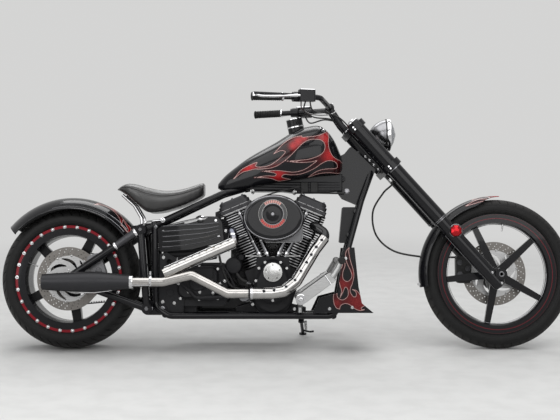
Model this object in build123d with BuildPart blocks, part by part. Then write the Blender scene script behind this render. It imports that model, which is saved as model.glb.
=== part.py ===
"""Long raked V-twin chopper: every rigid piece of the machine as its own solid.

The machine is drawn upright, in millimetres: x forward, y to the rider's left, z up, with the
floor at z = 0 below the middle of the machine. At the end every piece is leaned onto the side
stand, because that is how the machine is parked.
"""

from build123d import *
from math import cos, radians, sin, tan
import os

os.makedirs("parts", exist_ok=True)

# Stance
lean_angle = 8.0
wheelbase = 1996.0
rear_axle_x = -1009.0

# Tyres and wheels
rear_tyre_radius = 324.5
rear_tyre_width = 240.0
rear_crown_radius = 200.0
rear_rim_radius = 246.0
rear_rim_width = 216.0
front_tyre_radius = 347.5
front_tyre_width = 90.0
front_crown_radius = 45.0
front_rim_radius = 280.5
front_rim_width = 66.0
rim_flange_height = 14.0
rim_lip = 5.0
rear_rim_depth = 44.0
front_rim_depth = 40.0
spoke_count = 5
moving_gap = 5.5
running_fit = 0.05
seat_gap = 0.3

# Axles and hubs
axle_radius = 12.5
axle_bore_radius = 6.0
rear_hub_radius = 48.0
rear_hub_width = 150.0
front_hub_radius = 34.0
front_hub_width = 104.0

# Discs and pulley
disc_thickness = 5.0
front_disc_radius = 150.0
rear_disc_radius = 146.0
disc_band = 42.0
pulley_radius = 125.0
belt_width = 20.0
belt_thickness = 5.0
gearbox_pulley_radius = 50.0

# Steering head and fork
rake = 42.0
stem_offset = 70.0
leg_offset = 36.0
axle_lug_radius = 27.0
stem_radius = 15.0
neck_radius = 34.0
leg_spacing = 240.0
slider_radius = 32.0
slider_length = 365.0
cover_radius = 36.0
bottom_tree_at = 690.0
bottom_tree_thickness = 32.0
neck_length = 212.0
top_tree_thickness = 30.0
leg_cap_height = 14.0
tree_wall = 12.0
neck_end_gap = 0.5

# Frame tubes
backbone_radius = 25.0
rail_radius = 15.0
rail_height = 157.0
rail_half_track = 120.0
post_half_track = 100.0
arm_radius = 17.0

# Engine
crank_x = -64.0
crank_z = 235.0
vee_half_angle = 22.5
case_radius = 92.0
case_half_width = 70.0
deck_distance = 165.0
deck_half_length = 80.0
barrel_length = 158.0
barrel_core_radius = 66.0
barrel_fin_radius = 84.0
barrel_fin_count = 12
fin_thickness = 3.6
head_length = 117.0
head_size = (172.0, 180.0)
head_core_size = (140.0, 150.0)
head_fin_count = 6
rocker_size = (160.0, 230.0)
rocker_height = 58.0

# Exhaust
pipe_radius = 22.0

rear_axle_z = rear_tyre_radius - rear_crown_radius + rear_crown_radius / cos(radians(lean_angle))
front_axle_z = front_tyre_radius - front_crown_radius + front_crown_radius / cos(radians(lean_angle))
belt_y = rear_tyre_width / 2 + moving_gap
arm_half_track = belt_y + belt_width + moving_gap + arm_radius
exhaust_y = -(arm_half_track + arm_radius + 51)
rear_axle = Vector(rear_axle_x, 0, rear_axle_z)
front_axle = Vector(rear_axle_x + wheelbase, 0, front_axle_z)
crank = Vector(crank_x, 0, crank_z)

fork_up = Vector(-sin(radians(rake)), 0, cos(radians(rake)))
fork_forward = Vector(cos(radians(rake)), 0, sin(radians(rake)))
neck_at = bottom_tree_at + bottom_tree_thickness + neck_end_gap
top_tree_at = neck_at + neck_length + neck_end_gap
leg_top = top_tree_at + top_tree_thickness + leg_cap_height
leg_y = leg_spacing / 2


def fork_point(along, y=0.0, forward=0.0):
    """Point of the fork, measured up its legs from the front axle."""
    return front_axle + fork_up * along + fork_forward * forward + Vector(0, y, 0)


def fork_plane(along, y=0.0, forward=0.0):
    """Plane square to the fork legs, its x pointing forward and its y to the left."""
    return Plane(origin=fork_point(along, y, forward), x_dir=fork_forward, z_dir=fork_up)


def side_plane(centre, y=0.0):
    """Upright lengthwise plane through a point, its normal pointing to the right side."""
    return Plane(origin=(centre.X, y, centre.Z), x_dir=(1, 0, 0), z_dir=(0, -1, 0))


def wheel_plane(centre, angle=90.0):
    """Plane across a wheel: x along the axle, y out along the radius at this angle."""
    turn = radians(angle)
    return Plane(origin=centre, x_dir=(0, 1, 0), z_dir=(sin(turn), 0, -cos(turn)))


def cylinder_plane(distance, tilt):
    """Plane square to a cylinder's axis at a distance from the crank."""
    turn = radians(tilt)
    up = Vector(sin(turn), 0, cos(turn))
    return Plane(origin=crank + up * distance, x_dir=(cos(turn), 0, -sin(turn)), z_dir=up)


def wheel_axis(centre):
    """Axis of a wheel, turning so that angles grow from forward to up."""
    return Axis(centre, (0, -1, 0))


def bent_tube(points, radius, bend=60.0, mode=Mode.ADD):
    """Sweep a round bar along a line of points with rounded corners."""
    with BuildLine() as path:
        if len(points) == 2:
            Line(*points)
        else:
            FilletPolyline(*points, radius=bend)
    with BuildSketch(Plane(path.line ^ 0)) as ring:
        Circle(radius)
    sweep(sections=ring.sketch, path=path.line, mode=mode)


def cross_bar(centre, radius, y_from, y_to, mode=Mode.ADD):
    """Add or cut a round bar that runs across the machine."""
    with BuildSketch(side_plane(centre, y_to)) as ring:
        Circle(radius)
    extrude(ring.sketch, amount=y_to - y_from, mode=mode)


# Rear tyre
def tyre_profile(plane, radius, width, crown, rim_radius, rim_width):
    """Section of a tyre: crown arc, two side arcs and the beads between the rim's lips."""
    half = width / 2
    bead = rim_width / 2 - rim_lip
    edge = crown - (crown**2 - (half * 0.94) ** 2) ** 0.5
    with BuildSketch(plane) as section:
        with BuildLine():
            ThreePointArc((-half * 0.94, radius - edge), (0, radius), (half * 0.94, radius - edge))
            ThreePointArc(
                (half * 0.94, radius - edge),
                (half, (radius - edge + rim_radius) / 2),
                (bead, rim_radius),
            )
            Polyline(
                (bead, rim_radius),
                (bead, rim_radius - rim_flange_height),
                (-bead, rim_radius - rim_flange_height),
                (-bead, rim_radius),
            )
            ThreePointArc(
                (-bead, rim_radius),
                (-half, (radius - edge + rim_radius) / 2),
                (-half * 0.94, radius - edge),
            )
        make_face()
    return section.sketch


with BuildPart() as rear_tyre:
    revolve(
        tyre_profile(
            wheel_plane(rear_axle),
            rear_tyre_radius,
            rear_tyre_width,
            rear_crown_radius,
            rear_rim_radius,
            rear_rim_width,
        ),
        axis=wheel_axis(rear_axle),
    )

# Front tyre
with BuildPart() as front_tyre:
    revolve(
        tyre_profile(
            wheel_plane(front_axle),
            front_tyre_radius,
            front_tyre_width,
            front_crown_radius,
            front_rim_radius,
            front_rim_width,
        ),
        axis=wheel_axis(front_axle),
    )


def rim_profile(plane, radius, width, depth):
    """Section of a rim: well below the tyre's bead with a lip at each side."""
    half = width / 2
    bead = radius - rim_flange_height
    with BuildSketch(plane) as section:
        with BuildLine():
            Polyline(
                (-half, radius),
                (-half, radius - depth),
                (-half * 0.5, radius - depth - 6),
                (half * 0.5, radius - depth - 6),
                (half, radius - depth),
                (half, radius),
                (half - rim_lip, radius),
                (half - rim_lip, bead),
                (-half + rim_lip, bead),
                (-half + rim_lip, radius),
                close=True,
            )
        make_face()
    return section.sketch


def add_spokes(centre, reach, hub_width, root, tip, thickness, first_angle):
    """Five tapered spokes from the hub out to the rim."""
    for turn in range(spoke_count):
        angle = first_angle + turn * 360 / spoke_count
        out = radians(angle)
        plane = Plane(origin=centre, x_dir=(cos(out), 0, sin(out)), z_dir=(0, -1, 0))
        with BuildSketch(plane) as spoke:
            with BuildLine():
                Polyline((0, -root / 2), (reach, -tip / 2), (reach, tip / 2), (0, root / 2), close=True)
            make_face()
        extrude(spoke.sketch, amount=thickness / 2, both=True)


# Rear wheel
rear_spoke_angle = -81.0
with BuildPart() as rear_rim:
    revolve(
        rim_profile(wheel_plane(rear_axle), rear_rim_radius, rear_rim_width, rear_rim_depth),
        axis=wheel_axis(rear_axle),
    )
    cross_bar(rear_axle, rear_hub_radius, -rear_hub_width / 2, rear_hub_width / 2)
    add_spokes(rear_axle, rear_rim_radius - rear_rim_depth, rear_hub_width, 58, 40, 44, rear_spoke_angle)
    cross_bar(rear_axle, axle_radius + running_fit, -200, 200, Mode.SUBTRACT)

# Front wheel
front_spoke_angle = 42.5
with BuildPart() as front_rim:
    revolve(
        rim_profile(wheel_plane(front_axle), front_rim_radius, front_rim_width, front_rim_depth),
        axis=wheel_axis(front_axle),
    )
    cross_bar(front_axle, front_hub_radius, -front_hub_width / 2, front_hub_width / 2)
    add_spokes(front_axle, front_rim_radius - front_rim_depth, front_hub_width, 40, 27, 22, front_spoke_angle)
    cross_bar(front_axle, axle_radius + running_fit, -200, 200, Mode.SUBTRACT)


def brake_disc(centre, y, radius, hub_radius, seat_radius):
    """Flat brake disc with ten slots and a bolted inner ring that sits on the hub's end."""
    with BuildSketch(side_plane(centre, y)) as face:
        Circle(radius)
        Circle(seat_radius, mode=Mode.SUBTRACT)
        with PolarLocations((radius + hub_radius) / 2 - disc_band / 4, 10):
            SlotOverall(disc_band * 0.9, 11, rotation=55, mode=Mode.SUBTRACT)
    extrude(face.sketch, amount=disc_thickness)


front_disc_y = front_hub_width / 2 + 10
rear_disc_y = -(rear_hub_width / 2 + 28)
with BuildPart() as front_disc:
    brake_disc(front_axle, front_disc_y, front_disc_radius, front_hub_radius, axle_radius + 8)
    cross_bar(front_axle, front_hub_radius - 2, front_hub_width / 2, front_disc_y)
    cross_bar(front_axle, axle_radius + 8, 0, 200, Mode.SUBTRACT)
with BuildPart() as rear_disc:
    brake_disc(rear_axle, rear_disc_y, rear_disc_radius, rear_hub_radius, axle_radius + 8)
    cross_bar(rear_axle, rear_hub_radius - 4, rear_disc_y, -rear_hub_width / 2)
    cross_bar(rear_axle, axle_radius + 8, -200, 0, Mode.SUBTRACT)

# Rear pulley
pulley_y = belt_y + belt_width
with BuildPart() as rear_pulley:
    cross_bar(rear_axle, pulley_radius, belt_y, pulley_y)
    cross_bar(rear_axle, pulley_radius - 18, belt_y, pulley_y - 6, Mode.SUBTRACT)
    cross_bar(rear_axle, rear_hub_radius - 4, rear_hub_width / 2, pulley_y)
    with BuildSketch(side_plane(rear_axle, pulley_y + 1)) as windows:
        with PolarLocations(pulley_radius * 0.63, spoke_count):
            Circle(20)
    extrude(windows.sketch, amount=belt_width + 4, mode=Mode.SUBTRACT)
    cross_bar(rear_axle, axle_radius + 8, 0, 200, Mode.SUBTRACT)

# Drive belt
gearbox_pulley = Vector(-490, 0, 300)
with BuildPart() as drive_belt:
    for grow, mode in ((belt_thickness + seat_gap, Mode.ADD), (seat_gap, Mode.SUBTRACT)):
        with BuildSketch(side_plane(rear_axle, belt_y + belt_width)) as loop:
            Circle(pulley_radius + grow)
            with Locations((gearbox_pulley.X - rear_axle.X, gearbox_pulley.Z - rear_axle.Z)):
                Circle(gearbox_pulley_radius + grow)
            make_hull()
        extrude(loop.sketch, amount=belt_width, mode=mode)

# Rear axle with its nuts and inner spacers
rear_axle_half = arm_half_track + arm_radius + 5
with BuildPart() as rear_axle_bar:
    cross_bar(rear_axle, axle_radius, -rear_axle_half, rear_axle_half)
    for side in (-1, 1):
        inner = -rear_disc_y + 1 if side < 0 else pulley_y + 1
        spacer = sorted((side * (arm_half_track - arm_radius), side * inner))
        cross_bar(rear_axle, axle_radius + 6, *spacer)
        nut = sorted((side * (arm_half_track + arm_radius), side * rear_axle_half))
        cross_bar(rear_axle, axle_radius + 6, *nut)
    cross_bar(rear_axle, axle_bore_radius, -200, 200, Mode.SUBTRACT)

# Front axle
front_axle_half = leg_y + slider_radius + 4
with BuildPart() as front_axle_bar:
    cross_bar(front_axle, axle_radius, -front_axle_half, front_axle_half)
    for side in (-1, 1):
        spacer = sorted((side * (front_hub_width / 2 + 15.5 * (side > 0) + 0.5), side * (leg_y - slider_radius)))
        cross_bar(front_axle, axle_radius + 5, *spacer)
    cross_bar(front_axle, axle_bore_radius, -200, 200, Mode.SUBTRACT)

# Swingarm
upper_joint = Vector(-672, 0, 552)
lower_joint = Vector(-640, 0, 192)
cross_tube_radius = 18.0
with BuildPart() as swingarm:
    for side in (-1, 1):
        y = side * arm_half_track
        bent_tube([(rear_axle.X, y, rear_axle.Z), (upper_joint.X, y, upper_joint.Z)], arm_radius)
        bent_tube([(rear_axle.X, y, rear_axle.Z), (lower_joint.X, y, lower_joint.Z)], arm_radius)
        bent_tube([(upper_joint.X, y, upper_joint.Z), (lower_joint.X, y, lower_joint.Z)], arm_radius)
        cross_bar(rear_axle, 30, y - arm_radius, y + arm_radius)
        for joint in (upper_joint, lower_joint):
            cross_bar(joint, cross_tube_radius + 5, y - arm_radius - 2, y + arm_radius + 2)
    for joint in (upper_joint, lower_joint):
        cross_bar(joint, cross_tube_radius, -arm_half_track, arm_half_track)
    cross_bar(rear_axle, axle_radius, -200, 200, Mode.SUBTRACT)

# Cross tubes that carry the engine and the gearbox
engine_mounts = (70, -215)
gearbox_mount = -450

# Side stand's place
stand_pivot = Vector(71, 150, 122)
stand_foot_x = 82.0
stand_foot_y = 330.0
stand_leg_radius = 8.0
stand_pad_radius = 18.0
stand_pad_thickness = 8.0
stand_eye_radius = 14.0
stand_eye_half = 8.6
stand_pin_radius = 6.0
foot = Vector(stand_foot_x, stand_foot_y, stand_foot_y * tan(radians(lean_angle)))
floor_up = Vector(0, -sin(radians(lean_angle)), cos(radians(lean_angle)))
stand_tip = foot + floor_up * stand_pad_thickness
stand_turn = (stand_tip - stand_pivot).cross(Vector(-1, 0.1, 0)).normalized()

# Frame
neck_high = fork_point(neck_at + neck_length * 0.62, forward=-stem_offset - 10)
neck_low = fork_point(neck_at + neck_length * 0.2, forward=-stem_offset - 10)
backbone_line = [neck_high, Vector(150, 0, 822), Vector(-200, 0, 754)]
gusset_y = 22.0
gusset_outline = ((305, 950), (238, 870), (214, 765), (262, 700), (338, 668), (362, 716), (423, 836))
regulator_bars = (Vector(322, 0, 640), Vector(289, 0, 530))
regulator_bar_radius = 9.0


def seat_rail_line(side):
    """Line of one seat rail, from the backbone's end down to the swingarm's upper joint."""
    return [
        Vector(-150, 0, 762),
        Vector(-300, side * 72, 722),
        Vector(-546, side * 92, 606),
        Vector(upper_joint.X + cross_tube_radius + 6, side * post_half_track, 560),
    ]


with BuildPart() as frame:
    with BuildSketch(fork_plane(neck_at, forward=-stem_offset)) as ring:
        Circle(neck_radius)
    extrude(ring.sketch, amount=neck_length)
    bent_tube(backbone_line, backbone_radius, 120)
    for side in (-1, 1):
        bent_tube(seat_rail_line(side), rail_radius, 60)
        bent_tube(
            [
                neck_low,
                (350, side * 55, 690),
                (272, side * 100, 420),
                (225, side * rail_half_track, rail_height),
                (-540, side * rail_half_track, rail_height),
                (-606, side * post_half_track, rail_height + 40),
                (-615, side * post_half_track, 590),
            ],
            rail_radius,
            45,
        )
        with BuildSketch(side_plane(Vector(0, 0, 0), side * gusset_y + 3)) as gusset:
            with BuildLine():
                Polyline(*gusset_outline, close=True)
            make_face()
            fillet(gusset.vertices(), 12)
        extrude(gusset.sketch, amount=6)
    for bar in regulator_bars:
        cross_bar(bar, regulator_bar_radius, -72, 72)
    for place in (215, *engine_mounts, gearbox_mount):
        cross_bar(Vector(place, 0, rail_height), rail_radius, -rail_half_track, rail_half_track)
    cross_bar(Vector(-560, 0, rail_height + 6), rail_radius, -rail_half_track, rail_half_track)
    cross_bar(Vector(-613, 0, 480), rail_radius, -post_half_track, post_half_track)
    pivot_plate = Vector(lower_joint.X + 26, 0, lower_joint.Z)
    for side in (-1, 1):
        with BuildSketch(side_plane(lower_joint, side * post_half_track + 6)) as plate:
            Circle(cross_tube_radius + 14)
            with Locations((60, -6)):
                Circle(26)
            make_hull()
            Circle(cross_tube_radius + 0.2, mode=Mode.SUBTRACT)
        extrude(plate.sketch, amount=12)
        with BuildSketch(side_plane(upper_joint, side * post_half_track + 6)) as plate:
            Circle(cross_tube_radius + 10)
            with Locations((52, 14)):
                Circle(18)
            make_hull()
            Circle(cross_tube_radius + 0.2, mode=Mode.SUBTRACT)
        extrude(plate.sketch, amount=12)
    lug_at = stand_pivot + stand_turn * (stand_eye_half + 0.5)
    with BuildSketch(Plane(origin=lug_at, z_dir=stand_turn)) as lug:
        Circle(stand_eye_radius)
    extrude(lug.sketch, amount=14)
    bent_tube([lug_at + stand_turn * 8, (stand_pivot.X, rail_half_track, rail_height)], 6)
    with BuildSketch(Plane(origin=stand_pivot - stand_turn * (stand_eye_half + 4), z_dir=stand_turn)) as pin:
        Circle(stand_pin_radius)
    extrude(pin.sketch, amount=2 * stand_eye_half + 10)
    with BuildSketch(fork_plane(neck_at - 50, forward=-stem_offset)) as bore:
        Circle(stem_radius + running_fit)
    extrude(bore.sketch, amount=neck_length + 100, mode=Mode.SUBTRACT)

# Regulator between the downtubes
regulator_half_width = 37.0
regulator_fins = 8
with BuildPart() as regulator:
    with BuildSketch(Plane.XZ) as outline:
        with BuildLine():
            Polyline((262, 660), (345, 660), (300, 492), (246, 492), close=True)
        make_face()
        fillet(outline.vertices(), 8)
    extrude(outline.sketch, amount=regulator_half_width, both=True)
    for fin in range(regulator_fins):
        with BuildSketch(Plane.XZ) as strip:
            with BuildLine():
                lift = fin * 20
                Polyline(
                    (290 + lift * 0.268, 503 + lift),
                    (312 + lift * 0.268, 503 + lift),
                    (312 + lift * 0.268, 508 + lift),
                    (290 + lift * 0.268, 508 + lift),
                    close=True,
                )
            make_face()
        extrude(strip.sketch, amount=regulator_half_width, both=True)
    for bar in regulator_bars:
        cross_bar(bar, regulator_bar_radius + seat_gap, -60, 60, Mode.SUBTRACT)

# Crankcase
mount_top = rail_height + rail_radius + seat_gap
tilt_of = {"front": vee_half_angle, "rear": -vee_half_angle}
roof = deck_distance / cos(radians(vee_half_angle))
deck_x = deck_distance * sin(radians(vee_half_angle)) + deck_half_length * cos(radians(vee_half_angle))
deck_z = deck_distance * cos(radians(vee_half_angle)) - deck_half_length * sin(radians(vee_half_angle))
with BuildPart() as crankcase:
    with BuildSketch(side_plane(crank)) as outline:
        Circle(case_radius)
        with BuildLine():
            Polyline((-deck_x, deck_z), (0, roof), (deck_x, deck_z), (0, 0), close=True)
        make_face()
        make_hull()
    extrude(outline.sketch, amount=case_half_width, both=True)
    fillet(crankcase.edges().group_by(Axis.Z)[0], 10)
    cross_bar(crank, case_radius - 8, case_half_width, case_half_width + 25)
    for place in engine_mounts:
        with BuildSketch(side_plane(Vector(place, 0, 0), 40)) as lug:
            with BuildLine():
                inward = 1 if place < crank_x else -1
                Polyline(
                    (-20 * inward, mount_top),
                    (70 * inward, mount_top),
                    (110 * inward, crank_z - 10),
                    (-20 * inward, mount_top + 20),
                    close=True,
                )
            make_face()
        extrude(lug.sketch, amount=80)

# Cylinders
cylinders = {}
rocker_boxes = {}
for name, tilt in tilt_of.items():
    with BuildPart() as cylinder:
        with BuildSketch(cylinder_plane(deck_distance, tilt)) as bore:
            Circle(barrel_core_radius)
        extrude(bore.sketch, amount=barrel_length)
        pitch = (barrel_length - fin_thickness) / barrel_fin_count
        for fin in range(barrel_fin_count):
            with BuildSketch(cylinder_plane(deck_distance + 8 + fin * pitch, tilt)) as ring:
                Circle(barrel_fin_radius)
            extrude(ring.sketch, amount=fin_thickness)
        head_at = deck_distance + barrel_length
        with BuildSketch(cylinder_plane(head_at, tilt)) as core:
            RectangleRounded(*head_core_size, 30)
        extrude(core.sketch, amount=head_length)
        head_pitch = (head_length - fin_thickness) / (head_fin_count - 1)
        for fin in range(head_fin_count):
            with BuildSketch(cylinder_plane(head_at + fin * head_pitch, tilt)) as plate:
                RectangleRounded(*head_size, 34)
            extrude(plate.sketch, amount=fin_thickness)
        keep = Keep.BOTTOM if tilt < 0 else Keep.TOP
        split(bisect_by=Plane.YZ.offset(crank_x + (0.5 if tilt > 0 else -0.5)), keep=keep)
    cylinders[name] = cylinder
    rocker_at = head_at + head_length
    with BuildPart() as rocker_box:
        steps = ((0.0, 0.34, 0), (0.34, 0.68, 5), (0.68, 1.0, 12))
        for low, high, inset in steps:
            with BuildSketch(cylinder_plane(rocker_at + rocker_height * low, tilt)) as plate:
                RectangleRounded(rocker_size[0] - 2 * inset, rocker_size[1] - 2 * inset, 26)
            extrude(plate.sketch, amount=rocker_height * (high - low))
        along = Axis(crank, cylinder_plane(0, tilt).z_dir)
        chamfer(rocker_box.faces().sort_by(along)[-1].edges(), 7)
    rocker_boxes[name] = rocker_box

# Cam cover
cam_y = case_half_width
lifter_top = 192.0
with BuildPart() as cam_cover:
    with BuildSketch(side_plane(crank, -cam_y)) as inner:
        with Locations((0, 28)):
            Circle(88)
    extrude(inner.sketch, amount=barrel_fin_radius + 2 - cam_y)
    with BuildSketch(side_plane(crank, -barrel_fin_radius - 2)) as chest:
        with Locations((0, 28)):
            Circle(88)
        with Locations((0, lifter_top - 20)):
            Rectangle(150, 40)
        make_hull()
    extrude(chest.sketch, amount=32)
    with BuildSketch(side_plane(crank, -barrel_fin_radius - 34)) as cover:
        with Locations((0, 60)):
            Circle(84)
        with Locations((0, 120)):
            Circle(62)
        make_hull()
    extrude(cover.sketch, amount=32)
    chamfer(cam_cover.faces().sort_by(Axis.Y)[0].edges(), 12)
    cross_bar(Vector(crank_x, 0, 357), 44, -barrel_fin_radius - 76, -barrel_fin_radius - 60)

# Pushrod tubes
pushrod_radius = 10.0
pushrod_y = -(head_size[1] / 2 + pushrod_radius + 3)
with BuildPart() as pushrod_tubes:
    for tilt in tilt_of.values():
        lean_in = 1 if tilt < 0 else -1
        for foot_out, head_in in ((24, 52), (60, 8)):
            upper = cylinder_plane(rocker_at, tilt).from_local_coords((lean_in * head_in, pushrod_y, -0.2))
            lower = Vector(crank_x - lean_in * foot_out, pushrod_y, crank_z + lifter_top + 4.5)
            bent_tube([lower, upper - (upper - lower).normalized() * 4], pushrod_radius)

# Air cleaner
air_centre = Vector(-61, 0, 604)
with BuildPart() as air_cleaner:
    with BuildSketch(side_plane(air_centre, -120)) as backing:
        Ellipse(132, 98)
    extrude(backing.sketch, amount=14)
    with BuildSketch(side_plane(air_centre, -134)) as cover:
        Ellipse(140, 106)
    extrude(cover.sketch, amount=90)
    fillet(air_cleaner.faces().sort_by(Axis.Y)[0].edges(), 24)
    cross_bar(air_centre, 68, -232, -220)
with BuildPart() as intake:
    cross_bar(air_centre, 36, -120, -40)
    with BuildSketch(side_plane(air_centre, 30)) as body:
        RectangleRounded(80, 90, 12)
    extrude(body.sketch, amount=80)
    for tilt in tilt_of.values():
        toward = 1 if tilt > 0 else -1
        port = cylinder_plane(deck_distance + barrel_length + 42, tilt)
        face = port.from_local_coords((-toward * (head_size[0] / 2 + seat_gap), -10, 0))
        back = port.from_local_coords((-toward * (head_size[0] / 2 + 46), -10, 0))
        bent_tube([face, back], 19)

# Transmission
with BuildPart() as transmission:
    with BuildSketch(side_plane(Vector(-400, 0, 300))) as outline:
        RectangleRounded(250, 200, 30)
    extrude(outline.sketch, amount=90, both=True)
    with BuildSketch(side_plane(Vector(gearbox_mount, 0, (mount_top + 210) / 2))) as foot_block:
        Rectangle(60, 210 - mount_top)
    extrude(foot_block.sketch, amount=60, both=True)
    with BuildSketch(side_plane(Vector(-410, 0, 310), -90)) as cover:
        RectangleRounded(190, 150, 40)
    extrude(cover.sketch, amount=34)
    chamfer(transmission.faces().sort_by(Axis.Y)[0].edges(), 9)
    cross_bar(gearbox_pulley, 20, 90, belt_y + belt_width)
    cross_bar(gearbox_pulley, gearbox_pulley_radius, belt_y, belt_y + belt_width)

# Primary cover
clutch = Vector(-400, 0, 262)
with BuildPart() as primary_cover:
    with BuildSketch(side_plane(crank, 212)) as outline:
        Circle(88)
        with Locations((clutch.X - crank.X, clutch.Z - crank.Z)):
            Circle(112)
        make_hull()
    extrude(outline.sketch, amount=60)
    fillet(primary_cover.faces().sort_by(Axis.Y)[-1].edges(), 20)
    cross_bar(crank, 60, case_half_width + 25, 153)

# Oil tank
oil_cover_y = head_size[1] / 2 + 2
with BuildPart() as oil_tank:
    with BuildSketch(Plane.XZ) as outline:
        with BuildLine():
            Polyline((-586, 452), (-594, 556), (-430, 596), (-336, 610), (-336, 492), (-440, 468), close=True)
        make_face()
        fillet(outline.vertices(), 18)
    extrude(outline.sketch, amount=oil_cover_y, both=True)
    for side in (-1, 1):
        with BuildSketch(side_plane(Vector(0, 0, 0), oil_cover_y + 8 if side > 0 else -oil_cover_y)) as panel:
            with BuildLine():
                Polyline(
                    (-591, 448),
                    (-600, 560),
                    (-430, 600),
                    (-325, 616),
                    (-302, 588),
                    (-292, 500),
                    (-440, 462),
                    close=True,
                )
            make_face()
            fillet(panel.vertices(), 14)
        extrude(panel.sketch, amount=8)
    for side in (-1, 1):
        for rib in range(5):
            lift = rib * 24
            start = oil_cover_y + 8 + 9 if side > 0 else -oil_cover_y - 8
            with BuildSketch(side_plane(Vector(0, 0, 0), start)) as strip:
                with BuildLine():
                    rise = ThreePointArc((-580, 468 + lift), (-450, 480 + lift), (-312, 516 + lift * 0.7))
                    offset(rise, amount=6, side=Side.BOTH)
                make_face()
            extrude(strip.sketch, amount=9)

# Fuel tank
gauge_radius = 38.0
gauge_height = 70.0
gauge_plane = Plane(origin=(50, 0, 1008), x_dir=(1, 0, 0.2), z_dir=(-0.2, 0, 1))
# Columns: x, underside z, top z, half width, corner radius at the top
tank_stations = (
    (-322, 744, 776, 22),
    (-230, 740, 858, 78),
    (-60, 770, 962, 128),
    (90, 794, 1040, 148),
    (180, 808, 1034, 128),
    (226, 816, 960, 74),
)
with BuildPart() as fuel_tank:
    for x, low, high, half in tank_stations:
        middle = low + (high - low) * 0.42
        with BuildSketch(Plane(origin=(x, 0, 0), x_dir=(0, 1, 0), z_dir=(1, 0, 0))):
            with BuildLine():
                Line((-half * 0.72, low), (half * 0.72, low))
                ThreePointArc((half * 0.72, low), (half * 0.95, low + (middle - low) * 0.4), (half, middle))
                ThreePointArc((half, middle), (half * 0.72, middle + (high - middle) * 0.72), (0, high))
                ThreePointArc((0, high), (-half * 0.72, middle + (high - middle) * 0.72), (-half, middle))
                ThreePointArc((-half, middle), (-half * 0.95, low + (middle - low) * 0.4), (-half * 0.72, low))
            make_face()
    loft()
    bent_tube(backbone_line, backbone_radius + 1, 120, Mode.SUBTRACT)
    for side in (-1, 1):
        bent_tube(seat_rail_line(side), rail_radius + 1, 60, Mode.SUBTRACT)
    with BuildSketch(gauge_plane) as pocket:
        Circle(gauge_radius + seat_gap)
    extrude(pocket.sketch, amount=gauge_height, mode=Mode.SUBTRACT)

# Speedometer on the tank
with BuildPart() as speedometer:
    with BuildSketch(gauge_plane) as ring:
        Circle(gauge_radius)
    extrude(ring.sketch, amount=gauge_height)

# Saddle
with BuildPart() as saddle:
    with BuildSketch(Plane.XZ) as side:
        with BuildLine():
            ThreePointArc((-792, 742), (-740, 772), (-684, 765))
            ThreePointArc((-684, 765), (-560, 733), (-400, 776))
            Line((-400, 776), (-384, 712))
            ThreePointArc((-384, 712), (-500, 655), (-640, 622))
            Line((-640, 622), (-735, 700))
            Line((-735, 700), (-792, 742))
        make_face()
    extrude(side.sketch, amount=160, both=True)
    with BuildSketch(Plane.XY.offset(600)) as plan:
        with BuildLine():
            Polyline((-800, -90), (-740, -150), (-560, -150), (-380, -85), (-380, 85), (-560, 150), (-740, 150), (-800, 90), close=True)
        make_face()
        fillet(plan.vertices(), 30)
    extrude(plan.sketch, amount=200, mode=Mode.INTERSECT)

# Saddle strap
with BuildPart() as saddle_strap:
    for side in (-1, 1):
        bent_tube(
            [
                (-769.2, side * 70, 715.8),
                (-712, side * 74, 664),
                (-680, side * 76, 610),
                (-674, side * 76, 570.4),
            ],
            7,
            18,
        )


def fender_profile(plane, crown, edge, half_width, sheet):
    """Section of a fender: one curved sheet across the tyre with turned-down sides."""
    with BuildSketch(plane) as section:
        with BuildLine():
            ThreePointArc((-half_width, edge), (0, crown), (half_width, edge))
            Line((half_width, edge), (half_width - sheet, edge))
            ThreePointArc((half_width - sheet, edge), (0, crown - sheet), (-half_width + sheet, edge))
            Line((-half_width + sheet, edge), (-half_width, edge))
        make_face()
    return section.sketch


# Rear fender
rear_fender_from = 38.0
rear_fender_to = 140.0
with BuildPart() as rear_fender:
    revolve(
        fender_profile(wheel_plane(rear_axle, rear_fender_from), 378, 322, 132, 4),
        axis=wheel_axis(rear_axle),
        revolution_arc=rear_fender_to - rear_fender_from,
    )
    for side in (-1, 1):
        with BuildSketch(side_plane(upper_joint, side * 52 + 3)) as bracket:
            Circle(cross_tube_radius + 8)
            with Locations((-58, 10)):
                Circle(9)
            make_hull()
            Circle(cross_tube_radius + seat_gap, mode=Mode.SUBTRACT)
        extrude(bracket.sketch, amount=6)

# Front fender
front_fender_from = 84.0
front_fender_to = 190.0
fender_stay_at = 300.0
with BuildPart() as front_fender:
    revolve(
        fender_profile(wheel_plane(front_axle, front_fender_from), 366, 330, 56, 3),
        axis=wheel_axis(front_axle),
        revolution_arc=front_fender_to - front_fender_from,
    )
    for side in (-1, 1):
        stay = fork_point(fender_stay_at, forward=-leg_offset)
        with BuildSketch(side_plane(stay, side * 54 + 2)) as plate:
            with BuildLine():
                Polyline((-30, -34), (34, -6), (16, 44), (-44, 26), close=True)
            make_face()
        extrude(plate.sketch, amount=4)
        boss = sorted((side * 54, side * (leg_y - slider_radius - seat_gap)))
        cross_bar(stay, 12, *boss)

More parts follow.
